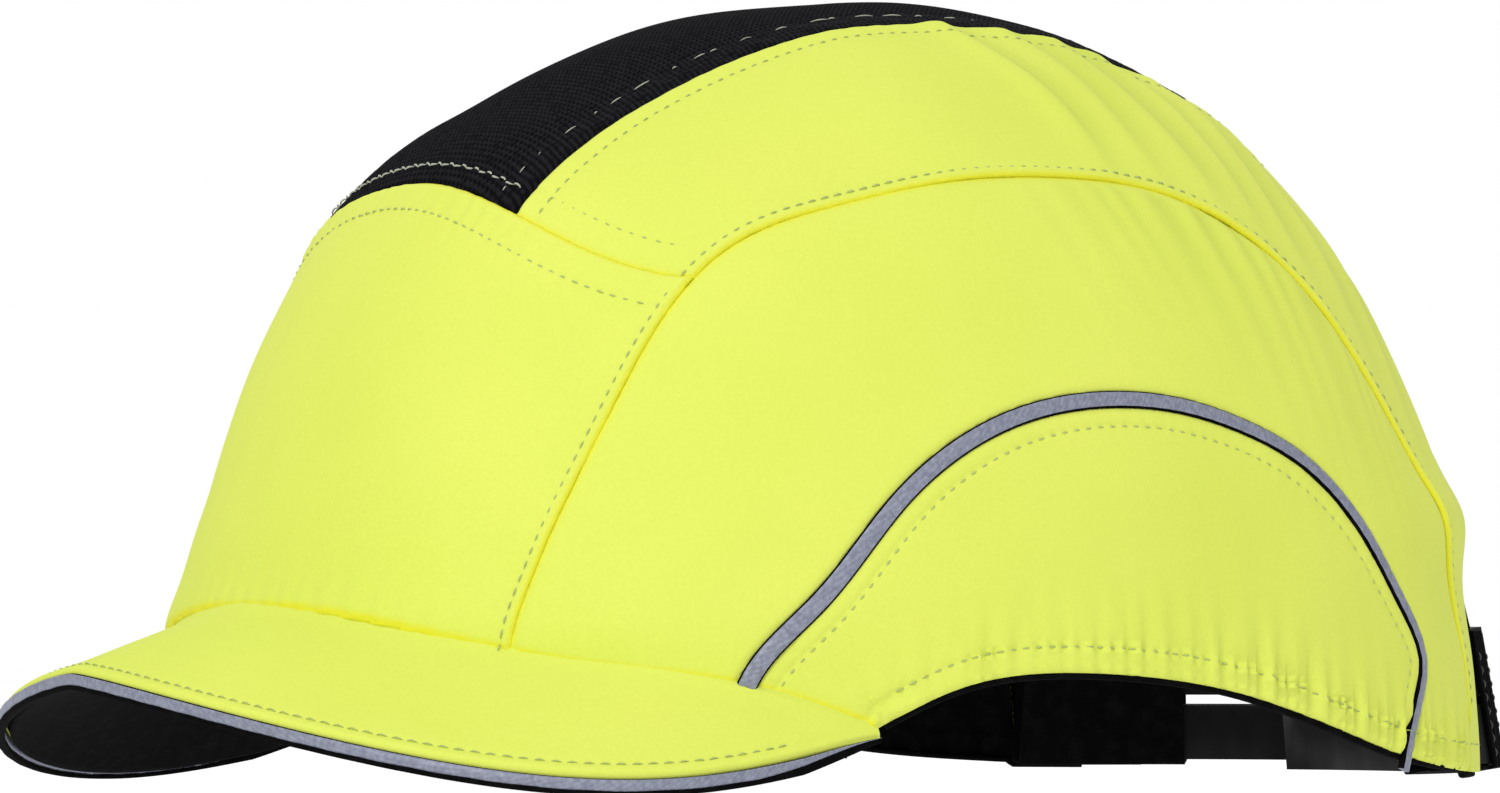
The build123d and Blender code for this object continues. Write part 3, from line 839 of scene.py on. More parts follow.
def crown_panel(side):
    points, faces = crown_grid((-76, 76) if side > 0 else (104, 256), (0, 80))
    lines = [(seams["front"], SEAM_ROWS), (mirror_line(seams["side"], side), SEAM_ROWS),
             (mirror_line(seams["mesh"], side), SEAM_ROWS)]
    points, faces = cut_panel(points, faces, ("above", "behind", "centre", "off_mesh", "off_arch"),
                              lines)
    to_front = near(points, seams["front"])
    to_side = near(points, mirror_line(seams["side"], side))
    to_mesh = near(points, mirror_line(seams["mesh"], side))
    height = rest_height(points, 12 + side)
    folds, shade = cross_folds(points)
    height += folds + rolled(to_side, True) + 0.6 * rolled(to_mesh, True)
    height += rolled(to_front, False) * 0.7
    height += (stitch_groove(to_side, SIDE_STITCH) + stitch_groove(to_mesh, MESH_STITCH)
               + stitch_groove(to_front, BACK_STITCH))
    height += 0.05 * gathers(points[:, 1], 4.2, 8 + side) * hump(to_mesh, 2, 4)
    name = f"crown_panel_{hand(side)}"
    panel_piece(name + "_cloth", points, faces, height, name, np.minimum(to_front, to_side), shade)


def side_height(points, side):
    """Relief that the side panel and the ear panel share, and the shade painted between its ruffles."""
    to_side = near(points, mirror_line(seams["side"], side), 40)
    height = rest_height(points, 20 + side)
    ruffle = 0.5 + 0.5 * gathers(points[:, 1] - 0.35 * to_side, 6.4, 30 + side)
    ruffle = ruffle * ramp(points[:, 1], -12, 8) * ramp(-points[:, 1], -70, -45)
    size = ramp(to_side, 0, 3) * np.exp(-to_side / 12)
    # painted shade in the hollows between the ruffles
    shade = (ramp(points[:, 1], -12, 8) * ramp(-points[:, 1], -70, -45) - ruffle) * size
    return height + 0.95 * ruffle * size, to_side, shade


def hem_height(points, side):
    """Puckers along the hem and the rounding of its fold."""
    to_hem = points[:, 2] - lower_z(points[:, 1])
    free = ramp(points[:, 1], -50, -42)
    size = hump(to_hem, 3.7, 3.6) * free
    rear = 0.6 + 0.7 * ramp(points[:, 1], -5, 30)
    height = 0.62 * rear * gathers(points[:, 1], 2.6, 40 + side) * size
    height += 0.45 * rear * gathers(points[:, 1], 5.1, 44 + side) * hump(to_hem, 4.5, 7) * free
    height += free * (stitch_groove(to_hem, HEM_STITCH) - 0.55 * hump(to_hem, 0, 0.55))
    return height - (1 - free) * 0.5 * hump(to_hem, 0, 0.9)


PEAK_CORNER = (79.2, -45.5, 12.2)


def corner_pucker(points, side):
    """Creases that fan out from the end of the hem's stitching, beside the peak."""
    x, y, z = PEAK_CORNER
    r = np.linalg.norm(points - np.array([x * side, y, z]), axis=1)
    turn = np.arctan2(points[:, 2] - z, points[:, 1] - y)
    fan = np.cos(4 * turn + 0.6) + 0.5 * np.cos(7 * turn)
    return 0.45 * fan * np.exp(-r / 4.5) * ramp(r, 0, 1.5) - 0.4 * np.exp(-(r / 1.6) ** 2)


def corner_seam(points):
    """Distance above the peak's seam, and far away behind it."""
    above = points[:, 2] - lower_z(points[:, 1])
    return np.where(points[:, 1] < -46, np.maximum(above - 1.0, 0), 9.0)


def side_panel(side):
    points, faces = crown_grid((-78, 78) if side > 0 else (102, 258), (0, 66))
    ear = mirror_line(ear_line, side)
    lines = [(mirror_line(seams["side"], side), UNDER_ROWS), (ear, (0.5, 1.2)),
             (mirror_line(hem_line, side), HEM_ROWS),
             (mirror_line(peak_line, side), PEAK_ROWS)]
    points, faces = cut_panel(points, faces, ("above", "side", "off_ear"), lines)
    height, to_side, shade = side_height(points, side)
    to_ear = near(points, ear)
    height += hem_height(points, side) + rolled(to_side, False) - 0.3 * hump(to_ear, 0, 0.7)
    height += corner_pucker(points, side)
    name = f"side_panel_{hand(side)}"
    panel_piece(name + "_cloth", points, faces, height, name,
                np.minimum(to_side, corner_seam(points)), PAINTED_RUFFLE_SHADE * shade)


def ear_panel(side):
    points, faces = crown_grid((-48, 48) if side > 0 else (132, 228), (0, 34))
    ear = mirror_line(ear_line, side)
    lines = [(ear, PIPING_ROWS),
             (mirror_line(hem_line, side), HEM_ROWS),
             (mirror_line(peak_line, side), PEAK_ROWS)]
    points, faces = cut_panel(points, faces, ("above", "ear_inner"), lines)
    height, _, shade = side_height(points, side)
    to_ear = near(points, ear) - PIPING_W
    height += hem_height(points, side) - 0.3 * hump(to_ear, 0, 0.6) + 0.12 * hump(to_ear, 1.4, 1.2)
    height += corner_pucker(points, side)
    height += stitch_groove(to_ear, EAR_STITCH)
    around = np.degrees(np.arctan2(points[:, 2], points[:, 1])) * 0.9
    height += 0.07 * gathers(around, 2.3, 50 + side) * hump(to_ear, 2.8, 2.4)
    name = f"ear_panel_{hand(side)}"
    panel_piece(name + "_cloth", points, faces, height, name, corner_seam(points),
                PAINTED_RUFFLE_SHADE * shade)


RIB_PITCH = 1.16


def strip_grid(columns, rows):
    """A grid along the mesh strip: x across, and an angle from the front to the rear."""
    x, turn = np.meshgrid(columns, np.radians(rows), indexing="ij")
    x, turn = x.ravel(), turn.ravel()
    low, high = np.zeros(len(x)), np.full(len(x), 140.0)
    for _ in range(30):
        middle = (low + high) / 2
        p = np.stack([x, -middle * np.cos(turn), middle * np.sin(turn)], axis=1)
        inside = level(p) < 1
        low, high = np.where(inside, middle, low), np.where(inside, high, middle)
    return p, grid_faces(len(columns), len(rows))


def mesh_strip():
    per_rib = 6
    count = int(2 * MESH_HALF / RIB_PITCH) * per_rib + 1
    points, faces = strip_grid(np.linspace(-MESH_HALF, MESH_HALF, count), np.linspace(40, 168, 170))
    faces = faces[:, ::-1]
    for field in ("behind", "off_arch"):
        points, faces = cut_along(points, faces, FIELDS[field](points), False)
    across = np.abs(points[:, 0])
    ribs = np.abs(np.cos(points[:, 0] * pi / RIB_PITCH))
    open_edge = ramp(across, 22.5, 23.5)
    height = rest_height(points, 13)
    height += 0.26 * ribs * (1 - 0.6 * open_edge) + 0.7 * ramp(points[:, 1], 5, 30)
    lumps = waves(points, 3.1, 70)
    height += 0.16 * lumps * open_edge - 0.5 * hump(across, MESH_HALF, 1.2)
    height += 0.12 * gathers(points[:, 1], 4.2, 9) * hump(across, 26, 4)
    to_front = near(points, seams["front"])
    height += rolled(to_front, False) * 0.7 - 0.15 * hump(to_front, 6, 0.6)
    piece = add_piece("mesh_strip_knit", *skins(points, faces, height), [KNIT, LINING], "black_mesh")
    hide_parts("mesh_strip")


front_panel()
mesh_strip()
for side in (1, -1):
    crown_panel(side)
    side_panel(side)
    ear_panel(side)


# ---------------------------------------------------------------- piping, bindings and stitching

def tape_section(half, high):
    """A thin tape's section, sunk in the seam; its rims are the steep parts."""
    right = [(half, -0.75), (half, 0.02), (half - 0.24, high * 0.8), (half * 0.4, high)]
    return right + [(-a, u) for a, u in right[::-1]]


def rim_slots(rings, size, rims):
    """Which faces of a swept tape belong to its rims: two to each side of the section."""
    pattern = np.repeat([1 if j in rims else 0 for j in range(size)], 2)
    return np.concatenate([np.tile(pattern, rings - 1), np.zeros(2 * size - 4, int)])


def ear_path(inset, step, low=0.0):
    """A line inside the ear arch, in side view, from the peak to the hem."""
    way = np.gradient(ear_side, axis=0)
    way /= np.linalg.norm(way, axis=1)[:, None]
    moved = ear_side + np.stack([way[:, 1], -way[:, 0]], axis=1) * inset
    moved = moved[moved[:, 1] > lower_z(moved[:, 0]) + low]
    return even(side_line(moved), step)


def plain_height(points, side):
    return rest_height(points, 20 + side)


def side_piping(side):
    path = mirror_line(ear_path(PIPING_W / 2, 0.5, -3.4), side)
    line, ups = on_cloth(path, plain_height(path, side))
    count = len(line)
    joint = int(count * 0.075)

    def section(i):
        tab = 0.25 if i < joint else 0.0
        return tape_section(1.5 - 0.42 * i / count, 0.3 + tab + 0.04 * sin(i * 1.1))

    points, faces = swept(line, ups, section)
    below = (lower_z(points[:, 1]) - points[:, 2]) * (points[:, 1] < 0)
    points = points - outwards(points) * (2.6 * ramp(below, 0.05, 0.4))[:, None]
    node = f"side_piping_{hand(side)}"
    # the steep rims take the black trim's material: painted shadow lines along both edges of the silver
    # piping
    piece = add_piece(node + "_tape", points, flipped(faces, side),
                      rim_slots(count, 8, (0, 1, 5, 6, 7)), [SILVER, BLACK_TRIM],
                      "silver_reflective")
    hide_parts(node)


HEM_END_X = 52.5            # where the hem's binding ends, at the rear


def hem_binding(side):
    line = hem_line[(hem_line[:, 1] > -45) & (hem_line[:, 0] > HEM_END_X)]
    y = np.linspace(78, 88, 12)
    tail = np.stack([x_at(y, 1.4), y, np.full(12, 1.4)], axis=1)
    line = np.concatenate([line, tail[tail[:, 0] > HEM_END_X]])
    line = even(line, 1.0) * (side, 1, 1)
    ups = outwards(line)
    wobble = 0.08 * gathers(line[:, 1], 2.3, 40 + side)
    centre = line + ups * (plain_height(line, side) - 1.25 + wobble)[:, None] + (0, 0, -0.4)
    turns = np.linspace(0, 2 * pi, 10, endpoint=False)
    section = [(0.5 * cos(t), 0.6 * sin(t)) for t in turns]
    points, faces = swept(centre, ups, section)
    node = f"hem_binding_{hand(side)}"
    piece = add_piece(node + "_tape", points, flipped(faces, side), None, [BLACK_TRIM],
                      "black_fabric")
    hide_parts(node)


def rear_arch_binding():
    low = 24.0
    start = np.arcsin(low / (ARCH_TOP - 0.5))
    turns = np.linspace(start, pi - start, 150)
    x, z = (ARCH_HALF - 0.4) * np.cos(turns), (ARCH_TOP - 0.4) * np.sin(turns)
    line = np.stack([x, y_at(x, z), z], axis=1)
    ups = outwards(line)
    height = plain_height(line, 1) - 0.45
    turn = np.linspace(0, 2 * pi, 12, endpoint=False)
    section = [(1.25 * cos(t), 0.95 * sin(t)) for t in turn]
    points, faces = swept(line + ups * height[:, None], ups, section)
    piece = add_piece("rear_arch_tape", points, faces, None, [BLACK_TRIM], "black_fabric")
    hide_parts("rear_arch_binding")


def sew(name, runs, material, slot, pitch=STITCH, length=1.35, radius=0.14, lift=0.05,
        uneven=0.0):
    """One piece of thread for several lines of stitches, each a line and its normals."""
    points, faces = joined([stitch_mesh(line, ups, pitch, length, radius, lift, uneven)
                            for line, ups in runs])
    add_piece(name, points, faces, None, [material], slot)


def seam_offset(line, gap, towards):
    """A seam's line moved along the crown by gap, towards a direction."""
    along = np.gradient(line, axis=0)
    across = np.cross(along, outwards(on_crown(line)))
    across /= np.linalg.norm(across, axis=1)[:, None]
    flip = np.sign(across @ np.array(towards, float))
    return on_crown(line + across * (gap * flip)[:, None])


def on_cloth(line, height):
    """A line on the crown, lifted onto the cloth, and its normals."""
    ups = outwards(line)
    return line + ups * height[:, None], ups


def panel_stitches():
    """The topstitching beside each seam."""
    for side in (1, -1):
        runs = []
        seam = mirror_line(seams["side"], side)
        line = even(seam_offset(seam, SIDE_STITCH, (-side, 0, 0.3)), 1.0)
        height = relief(line) + rolled(np.full(len(line), SIDE_STITCH), True) - 0.1
        height += cross_folds(line)[0]
        runs.append(on_cloth(line, height))
        edge = mirror_line(seams["mesh"], side)
        line = even(seam_offset(edge, MESH_STITCH, (side, 0, -0.3)), 1.0)
        height = relief(line) + cross_folds(line)[0] - 0.12 + 0.15 * waves(line, 24, 12 + side)
        runs.append(on_cloth(line, height))
        ear = ear_path(PIPING_W + EAR_STITCH, 1.0, 0.4) * (side, 1, 1)
        runs.append(on_cloth(ear, plain_height(ear, side) - 0.1))
        hem = even(side_line(through(HEM_SIDE[:-2] + [(84, 1.8)], 200) + (0, HEM_STITCH)), 1.0)
        hem = hem[(hem[:, 1] > -44) & (hem[:, 0] > 54)] * (side, 1, 1)
        height = plain_height(hem, side) + hem_height(hem, side)
        runs.append(on_cloth(hem, height))
        front = seams["front"][seams["front"][:, 0] > 1][::-1]
        front = front[np.argsort(front[:, 0])]
        back = even(seam_offset(longer(front) * (side, 1, 1), BACK_STITCH, (0, 1, 0.3)), 1.0)
        across = np.abs(back[:, 0])
        back = back[(across > MESH_HALF + 1.5) & (across < seam_x(back[:, 1]) - 1.6)]
        runs.append(on_cloth(back, relief(back) - 0.08))
        sew(f"topstitch_{hand(side)}", runs, PALE_THREAD, "yellow_fabric")
    both = longer(longer(seams["front"])[::-1])
    line = even(seam_offset(both, FRONT_STITCH, (0, -1, -0.3)), 1.0)
    line = line[np.abs(line[:, 0]) < seam_x(line[:, 1]) - 1.6]
    sew("topstitch_front", [on_cloth(line, relief(line) - 0.08)], PALE_THREAD, "yellow_fabric")


def longer(line, reach=7.0):
    """A line on the crown that goes straight on past its last point."""
    way = line[-1] - line[-3]
    way /= np.linalg.norm(way)
    more = line[-1] + way * np.linspace(1, reach, int(reach))[:, None]
    return np.concatenate([line, on_crown(more)])


def mesh_stitches():
    """White thread on the mesh: a zigzag behind the front seam and long stitches at the sides."""
    zigzag = even(seam_offset(seams["front"], 4.0, (0, 1, 0.3)), 0.9)
    zigzag = zigzag[np.abs(zigzag[:, 0]) < MESH_HALF]
    along = np.gradient(zigzag, axis=0)
    along /= np.linalg.norm(along, axis=1)[:, None]
    step = np.where(np.arange(len(zigzag)) // 2 % 2 == 0, 0.22, -0.22)
    zigzag = on_crown(zigzag + np.cross(along, outwards(zigzag)) * step[:, None])
    runs = [on_cloth(zigzag, relief(zigzag) + 0.28)]
    for side in (1, -1):
        edge = even(seam_offset(mirror_line(seams["mesh"], side), 5.2, (-side, 0, 0.2)), 1.0)
        edge = edge[:int(len(edge) * 0.5)]
        runs.append(on_cloth(edge, relief(edge) + 0.22))
    sew("mesh_zigzag", runs[:1], WHITE_THREAD, "yellow_fabric", 1.9, 1.8, 0.17, 0.1)
    sew("mesh_long_stitches", runs[1:], WHITE_THREAD, "yellow_fabric", 5.2, 2.3, 0.11, 0.08,
        1.0)


for side in (1, -1):
    side_piping(side)
    hem_binding(side)
rear_arch_binding()
panel_stitches()
mesh_stitches()


# ---------------------------------------------------------------- peak

PEAK_LENGTH, PEAK_END, PEAK_ROOT = 29.6, 79.1, 0.7
DROOP = (16.7, 44.0)
EDGE_T = 0.9
SILVER_TOP = 0.75
STITCH_IN = 2.2      # the topstitch, in from the peak's edge


def peak_station(x):
    """The peak's seam point, its way out in plan, its length and its droop, at an x."""
    share = abs(x) / 79.0
    z = 26.5 - 11.5 * share ** 1.5 - 6.0 * share ** 9
    y = -float(y_at(np.array([x]), np.array([z]))[0])
    nx = (abs(x) / A) ** (PLAN - 1) / A * (1 if x > 0 else -1)
    ny = -((abs(y) / B) ** (PLAN - 1)) / B
    ahead = Vector((nx, ny, 0)).normalized()
    share = abs(x) / 79.5
    length = PEAK_LENGTH * (1 - share ** 7.4) ** 1.23
    droop = radians(DROOP[0] + (DROOP[1] - DROOP[0]) * share ** 1.27)
    return Vector((x, y, z)), ahead, length, droop


def peak_places(count):
    return [PEAK_END * sin(pi * i / (2 * count)) for i in range(-count, count + 1)]


def peak_points(count, section):
    """Points of the peak: section gives (out, down) pairs in millimetres for a station's length."""
    rings = []
    for x in peak_places(count):
        seam, ahead, length, droop = peak_station(x)
        out = ahead * cos(droop) - Vector((0, 0, sin(droop)))
        down = ahead * -sin(droop) - Vector((0, 0, cos(droop)))
        rings.append([seam + out * o + down * d for o, d in section(x, length)])
    return np.array([[list(p) for p in ring] for ring in rings])


def peak_piece(name, count, section, material, slot, node, rims=()):
    """A layer of the peak; rims are the places in its section that take the black trim's material, which on
    the silver band is a painted shadow line along its top edge.
    """
    rings = peak_points(count, section)
    points, faces = rings.reshape(-1, 3), tube_faces(len(rings), rings.shape[1])[:, ::-1]
    piece = add_piece(name, points, faces, rim_slots(len(rings), rings.shape[1], rims),
                      [material, BLACK_TRIM], slot)
    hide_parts(node)
    return piece


def edge_share(length):
    """The edge's height thins to nothing where the peak runs out."""
    return 0.12 + 0.88 * min(1.0, length / 9) ** 0.6


COVER_UNDERSIDE = range(62, 75)     # the places in the cover's section that face down


def cover_section(x, length):
    """The yellow top: raised at its seam, grooved at its stitches and rolled over at its edge."""
    full = PEAK_ROOT + length
    taper = min(1.0, length / 6)
    out = np.concatenate([np.linspace(-1.6, full - 6, 34), np.linspace(full - 5.9, full, 26)])
    out = np.maximum(out, -1.6)
    inside = full - out
    wave = waves(np.stack([np.full(len(out), x), out, 0 * out], axis=1), 30, 80)
    raised = -1.05 * min(1, length / 12) * np.exp(-np.maximum(out, 0) / 2.4)
    down = raised + 0.18 * wave * np.minimum(1, inside / 8)
    down = down - 0.14 * taper + taper * 0.2 * hump(inside, STITCH_IN, 0.5)
    pucker = sin(x * 2 * pi / 2.2 + 2 * sin(x * 0.21)) * (0.6 + 0.4 * sin(x * 0.37))
    down = down + taper * 0.06 * pucker * hump(inside, 2.0, 2.2)
    down = down + 0.55 * np.maximum(0, 1 - inside / 0.8) ** 2
    top = list(zip(out, down))
    lip = [(full + 0.25, 0.75), (full + 0.1, 1.05), (full - 0.5, 0.95)]
    below = [(o, 0.68) for o in np.linspace(full - 1.2, -1.6, 12)]
    thin = edge_share(length)
    return top + [(o, d * thin) for o, d in lip + below]


def silver_low(length):
    """The silver band's lower edge, which rises to nothing where the peak runs out."""
    return SILVER_TOP + 1.75 * min(1.0, length / 14) ** 0.8


def band_section(top_at, bottom_at, bulge):
    """A soft band round the peak's edge, between two depths that depend on the peak's length."""
    def section(x, length):
        full = PEAK_ROOT + length
        thin = edge_share(length)
        top, low = top_at(length), bottom_at(length)
        _, _, _, droop = peak_station(x)
        points = []
        for t in np.linspace(-pi / 2, pi / 2, 9):
            across = EDGE_T * 0.35 + bulge * abs(cos(t)) ** 0.8 + 0.05 * sin(x * 1.3 + t)
            drop = (top + low) / 2 + (low - top) / 2 * sin(t)
            points.append((across, drop * thin))
        points += [(-0.7, low * thin), (-0.7, top * thin)]
        # across and drop are level and upright, so they turn with the droop
        return [(full + a * cos(droop) + d * sin(droop), d * cos(droop) - a * sin(droop))
                for a, d in points]
    return section


def under_section(x, length):
    """The black underside, with a slight pillow between its root and its edge."""
    full = PEAK_ROOT + length
    out = np.linspace(full - 0.4, 0.0, 24)
    sag = 0.2 * np.sin(np.clip(out / full, 0, 1) * pi)
    thin = edge_share(length)
    lower = [(o, (3.1 + s) * thin) for o, s in zip(out, sag)]
    upper = [(o, 2.42 * thin) for o in np.linspace(0.0, full - 0.4, 10)]
    return lower[::-1] + upper[::-1]


def peak_stitches():
    line, ups = [], []
    for x in peak_places(90):
        seam, ahead, length, droop = peak_station(x)
        if length < 9:
            continue
        out = ahead * cos(droop) - Vector((0, 0, sin(droop)))
        up = ahead * sin(droop) + Vector((0, 0, cos(droop)))
        line.append(list(seam + out * (PEAK_ROOT + length - STITCH_IN) + up * 0.05))
        ups.append(list(up))
    sew("topstitch_peak", [(np.array(line), np.array(ups))], PALE_THREAD, "yellow_fabric", 2.3, 1.75,
        0.12)


cover = peak_piece("peak_cover_cloth", 150, cover_section, YELLOW, "yellow_fabric",
                   "peak_top_cover", COVER_UNDERSIDE)
# its top rim takes the black trim's material: a painted shadow line along the silver band's top edge
peak_piece("peak_edge_tape", 110, band_section(lambda length: SILVER_TOP, silver_low, 0.5), SILVER,
           "silver_reflective", "peak_piping", (0, 10))
peak_piece("peak_binding_tape", 110, band_section(lambda length: silver_low(length) - 0.15,
                                                    lambda length: 3.2, 0.4), BLACK_TRIM, "black_fabric",
           "peak_binding")
under = peak_piece("peak_under_cloth", 90, under_section, BLACK_TRIM, "black_fabric",
                   "peak_under_cover")
peak_stitches()


# ---------------------------------------------------------------- inside: sweatband, pads, label

def crown_column(turn, low, tall, rows):
    """Points up the crown at a plan angle, from low above the lower edge."""
    way = np.array([[A * cos(turn), B * sin(turn), 0.0]])
    point = on_crown(way + (0, 0, 8))
    for _ in range(4):
        z = float(lower_z(point[:, 1])[0]) + low
        reach = plan_level(np.array([z]))[0] ** (1 / PLAN)
        flat = on_crown(way)[0]
        point = np.array([[flat[0] * reach, flat[1] * reach, z]])
    column = []
    for rise in np.linspace(0, tall, rows):
        z = point[0, 2] + rise
        reach = plan_level(np.array([z]))[0] ** (1 / PLAN)
        column.append([flat[0] * reach, flat[1] * reach, z])
    return column


BAND_LOW, BAND_TALL, BAND_REAR = 2.2, 29.6, 44.0
BAND_SEAMS = (0.14, 0.88)   # the sweatband's two seams, as shares of its height
BAND_DEPTHS = (-6.35, -3.75)


def sweatband():
    """A padded cloth band, quilted lightly, with a bound upper edge."""
    half = 90 + degrees(np.arcsin(BAND_REAR / B))
    turns = np.radians(np.linspace(-90 - half, -90 + half, 420))
    rows = 40
    base = np.array([crown_column(t, BAND_LOW, BAND_TALL, rows) for t in turns])
    flat = base.reshape(-1, 3)
    ups = outwards(flat)
    share = np.tile(np.linspace(0, 1, rows), len(turns))
    run = np.repeat(np.arange(len(turns)) * 1.32, rows)
    fullness = (1 - np.abs(2 * share - 1) ** 6) ** 0.6
    ends = np.minimum(run, run.max() - run)
    fullness = fullness * (1 - np.exp(-ends / 1.5))
    low, high = ((share - place) * 30 for place in BAND_SEAMS)
    quilt = 0.55 * np.exp(-(low / 0.9) ** 2) + 0.3 * np.exp(-(high / 0.9) ** 2)
    pucker = 0.12 * np.sin(run * 2 * pi / 3.1) * np.exp(-(low / 3) ** 2)
    inner = -3.7 - 2.35 * fullness + quilt * fullness + pucker + 0.12 * waves(flat, 17, 90)
    inner = np.clip(inner, *BAND_DEPTHS)
    outer = flat - ups * 3.65
    faces = grid_faces(len(turns), rows)
    points, everything, _ = closed_layer(flat + ups * inner[:, None], outer, faces[:, ::-1])
    piece = add_piece("sweatband_pad", points, everything, None, [TERRY], "sweatband_fabric")
    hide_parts("sweatband")
    runs = []
    for where, depth in zip(BAND_SEAMS, (5.35, 5.55)):
        line = base[:, int(where * (rows - 1))]
        inwards = -outwards(line)
        runs.append((line + inwards * depth, inwards))
    sew("sweatband_stitches", runs, BLACK_THREAD, "sweatband_fabric", 2.8, 1.9, 0.17, 0.1)


def soft_box(u, v, half_u, half_v, radius):
    """Distance inside a rounded rectangle."""
    du, dv = np.abs(u) - half_u + radius, np.abs(v) - half_v + radius
    outside = np.hypot(np.maximum(du, 0), np.maximum(dv, 0))
    return radius - outside - np.minimum(np.maximum(du, dv), 0)


PAD_PLACES = {
    "crown_pad": ((0, 360), (56, 90), lambda p: soft_box(p[:, 0], p[:, 1] + 5, 30.8, 47.8, 20)),
    "front_pad": ((-150, -30), (28, 60),
                  lambda p: soft_box(p[:, 0], p[:, 2] - 74.5, 39.7, 13.2, 6)),
    "side_pad_left": ((-45, 45), (28, 60),
                      lambda p: soft_box(p[:, 1] - 3, p[:, 2] - 78, 36.7, 11.7, 6)),
    "side_pad_right": ((135, 225), (28, 60),
                       lambda p: soft_box(p[:, 1] - 3, p[:, 2] - 78, 36.7, 11.7, 6)),
    "rear_pad_left": ((35, 85), (24, 60),
                      lambda p: soft_box(p[:, 0] - 33, p[:, 2] - 72, 16.7, 13.7, 6)),
    "rear_pad_right": ((95, 145), (24, 60),
                       lambda p: soft_box(p[:, 0] + 33, p[:, 2] - 72, 16.7, 13.7, 6)),
}


PAD_DEPTH = 3.45            # of the face that is glued to the shell
PAD_EDGE = 3.6              # how far in from its outline a pad is rounded
PAD_THICKEST = 5.35


def foam_pad(node, turns, elevations, field):
    """A foam pad with rounded edges, glued inside the shell."""
    columns, rows = int((turns[1] - turns[0]) * 1.05), int((elevations[1] - elevations[0]) * 1.5)
    points, faces = patch(np.linspace(*turns, columns), np.linspace(*elevations, rows))
    points, faces = cut_along(points, faces, field(points), False)
    for gap in (0.5, 1.2, 2.2, PAD_EDGE):
        points, faces = cut_along(points, faces, field(points) - gap, True)
    points = on_crown(points)
    inside = np.maximum(field(points), 0)
    thick = 5.1 * (1 - np.maximum(1 - inside / PAD_EDGE, 0) ** 2.4) ** 0.5 + 0.25
    thick = np.minimum(thick - 0.12 * (1 + waves(points, 9, 60)), PAD_THICKEST)
    ups = outwards(points)
    outer = points - ups * PAD_DEPTH
    inner = points - ups * (PAD_DEPTH + np.maximum(thick, 0.2))[:, None]
    points, everything, _ = closed_layer(outer, inner, faces)
    piece = add_piece(node + "_foam", points, everything, None, [FOAM], "foam")
    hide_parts(node)


LABEL_Y, LABEL_Z = (20.3, 41.7), (20.3, 33.7)


def care_label():
    """A blank woven label, sewn along its top edge."""
    y, z = np.meshgrid(np.linspace(*LABEL_Y, 30), np.linspace(*LABEL_Z, 20), indexing="ij")
    y, z = y.ravel(), z.ravel()
    points = np.stack([x_at(y, z), y, z], axis=1)
    ups = outwards(points)
    curl = 0.25 * ((LABEL_Z[1] - z) / 13) ** 2 * (1 + 0.4 * np.sin(y * 0.5))
    faces = grid_faces(30, 20)
    outer = points - ups * (6.32 + curl)[:, None]
    inner = points - ups * (6.5 + curl)[:, None]
    points, everything, _ = closed_layer(outer, inner, faces)
    piece = add_piece("care_label_cloth", points, everything, None, [LABEL], "label_fabric")
    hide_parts("care_label")
    y = np.linspace(21, 41, 30)
    line = np.stack([x_at(y, 0 * y + 32.6), y, 0 * y + 32.6], axis=1)
    inwards = -outwards(line)
    sew("label_stitches", [(line + inwards * 6.55, inwards)], BLACK_THREAD, "label_fabric", 2.0, 1.3,
        0.12)


sweatband()
for node, (turns, elevations, field) in PAD_PLACES.items():
    foam_pad(node, turns, elevations, field)
care_label()


# ---------------------------------------------------------------- strap sleeves and the adjuster

STRAP_Y, STRAP_R, STRAP_Z = 62.0, 55.0, 12.6
LEAN = radians(9.7)
# Degrees from the rear where a sleeve starts, where it opens outwards and where it ends
SLEEVE_START, SLEEVE_OPEN, SLEEVE_END = 47, 55, 78
SLEEVE_HALF = 11.1          # half its height


def on_cone(out, up, angle):
    """A point out from the outer strap's face and up its slope, at degrees from the rear."""
    r = STRAP_R + out * cos(LEAN) - up * sin(LEAN)
    z = STRAP_Z + out * sin(LEAN) + up * cos(LEAN)
    a = radians(angle)
    return (r * sin(a), STRAP_Y + r * cos(a), z)


def round_loop(low_out, high_out, half, radius):
    """A rounded rectangle of (out, up) points."""
    loop = []
    corners = ((high_out, half), (low_out, half), (low_out, -half), (high_out, -half))
    for i, (out, up) in enumerate(corners):
        middle_out = out - radius * np.sign(out - (low_out + high_out) / 2)
        middle_up = up - radius * np.sign(up)
        for t in np.linspace(0, pi / 2, 5):
            turn = t + i * pi / 2
            loop.append((middle_out + radius * cos(turn), middle_up + radius * sin(turn)))
    return loop


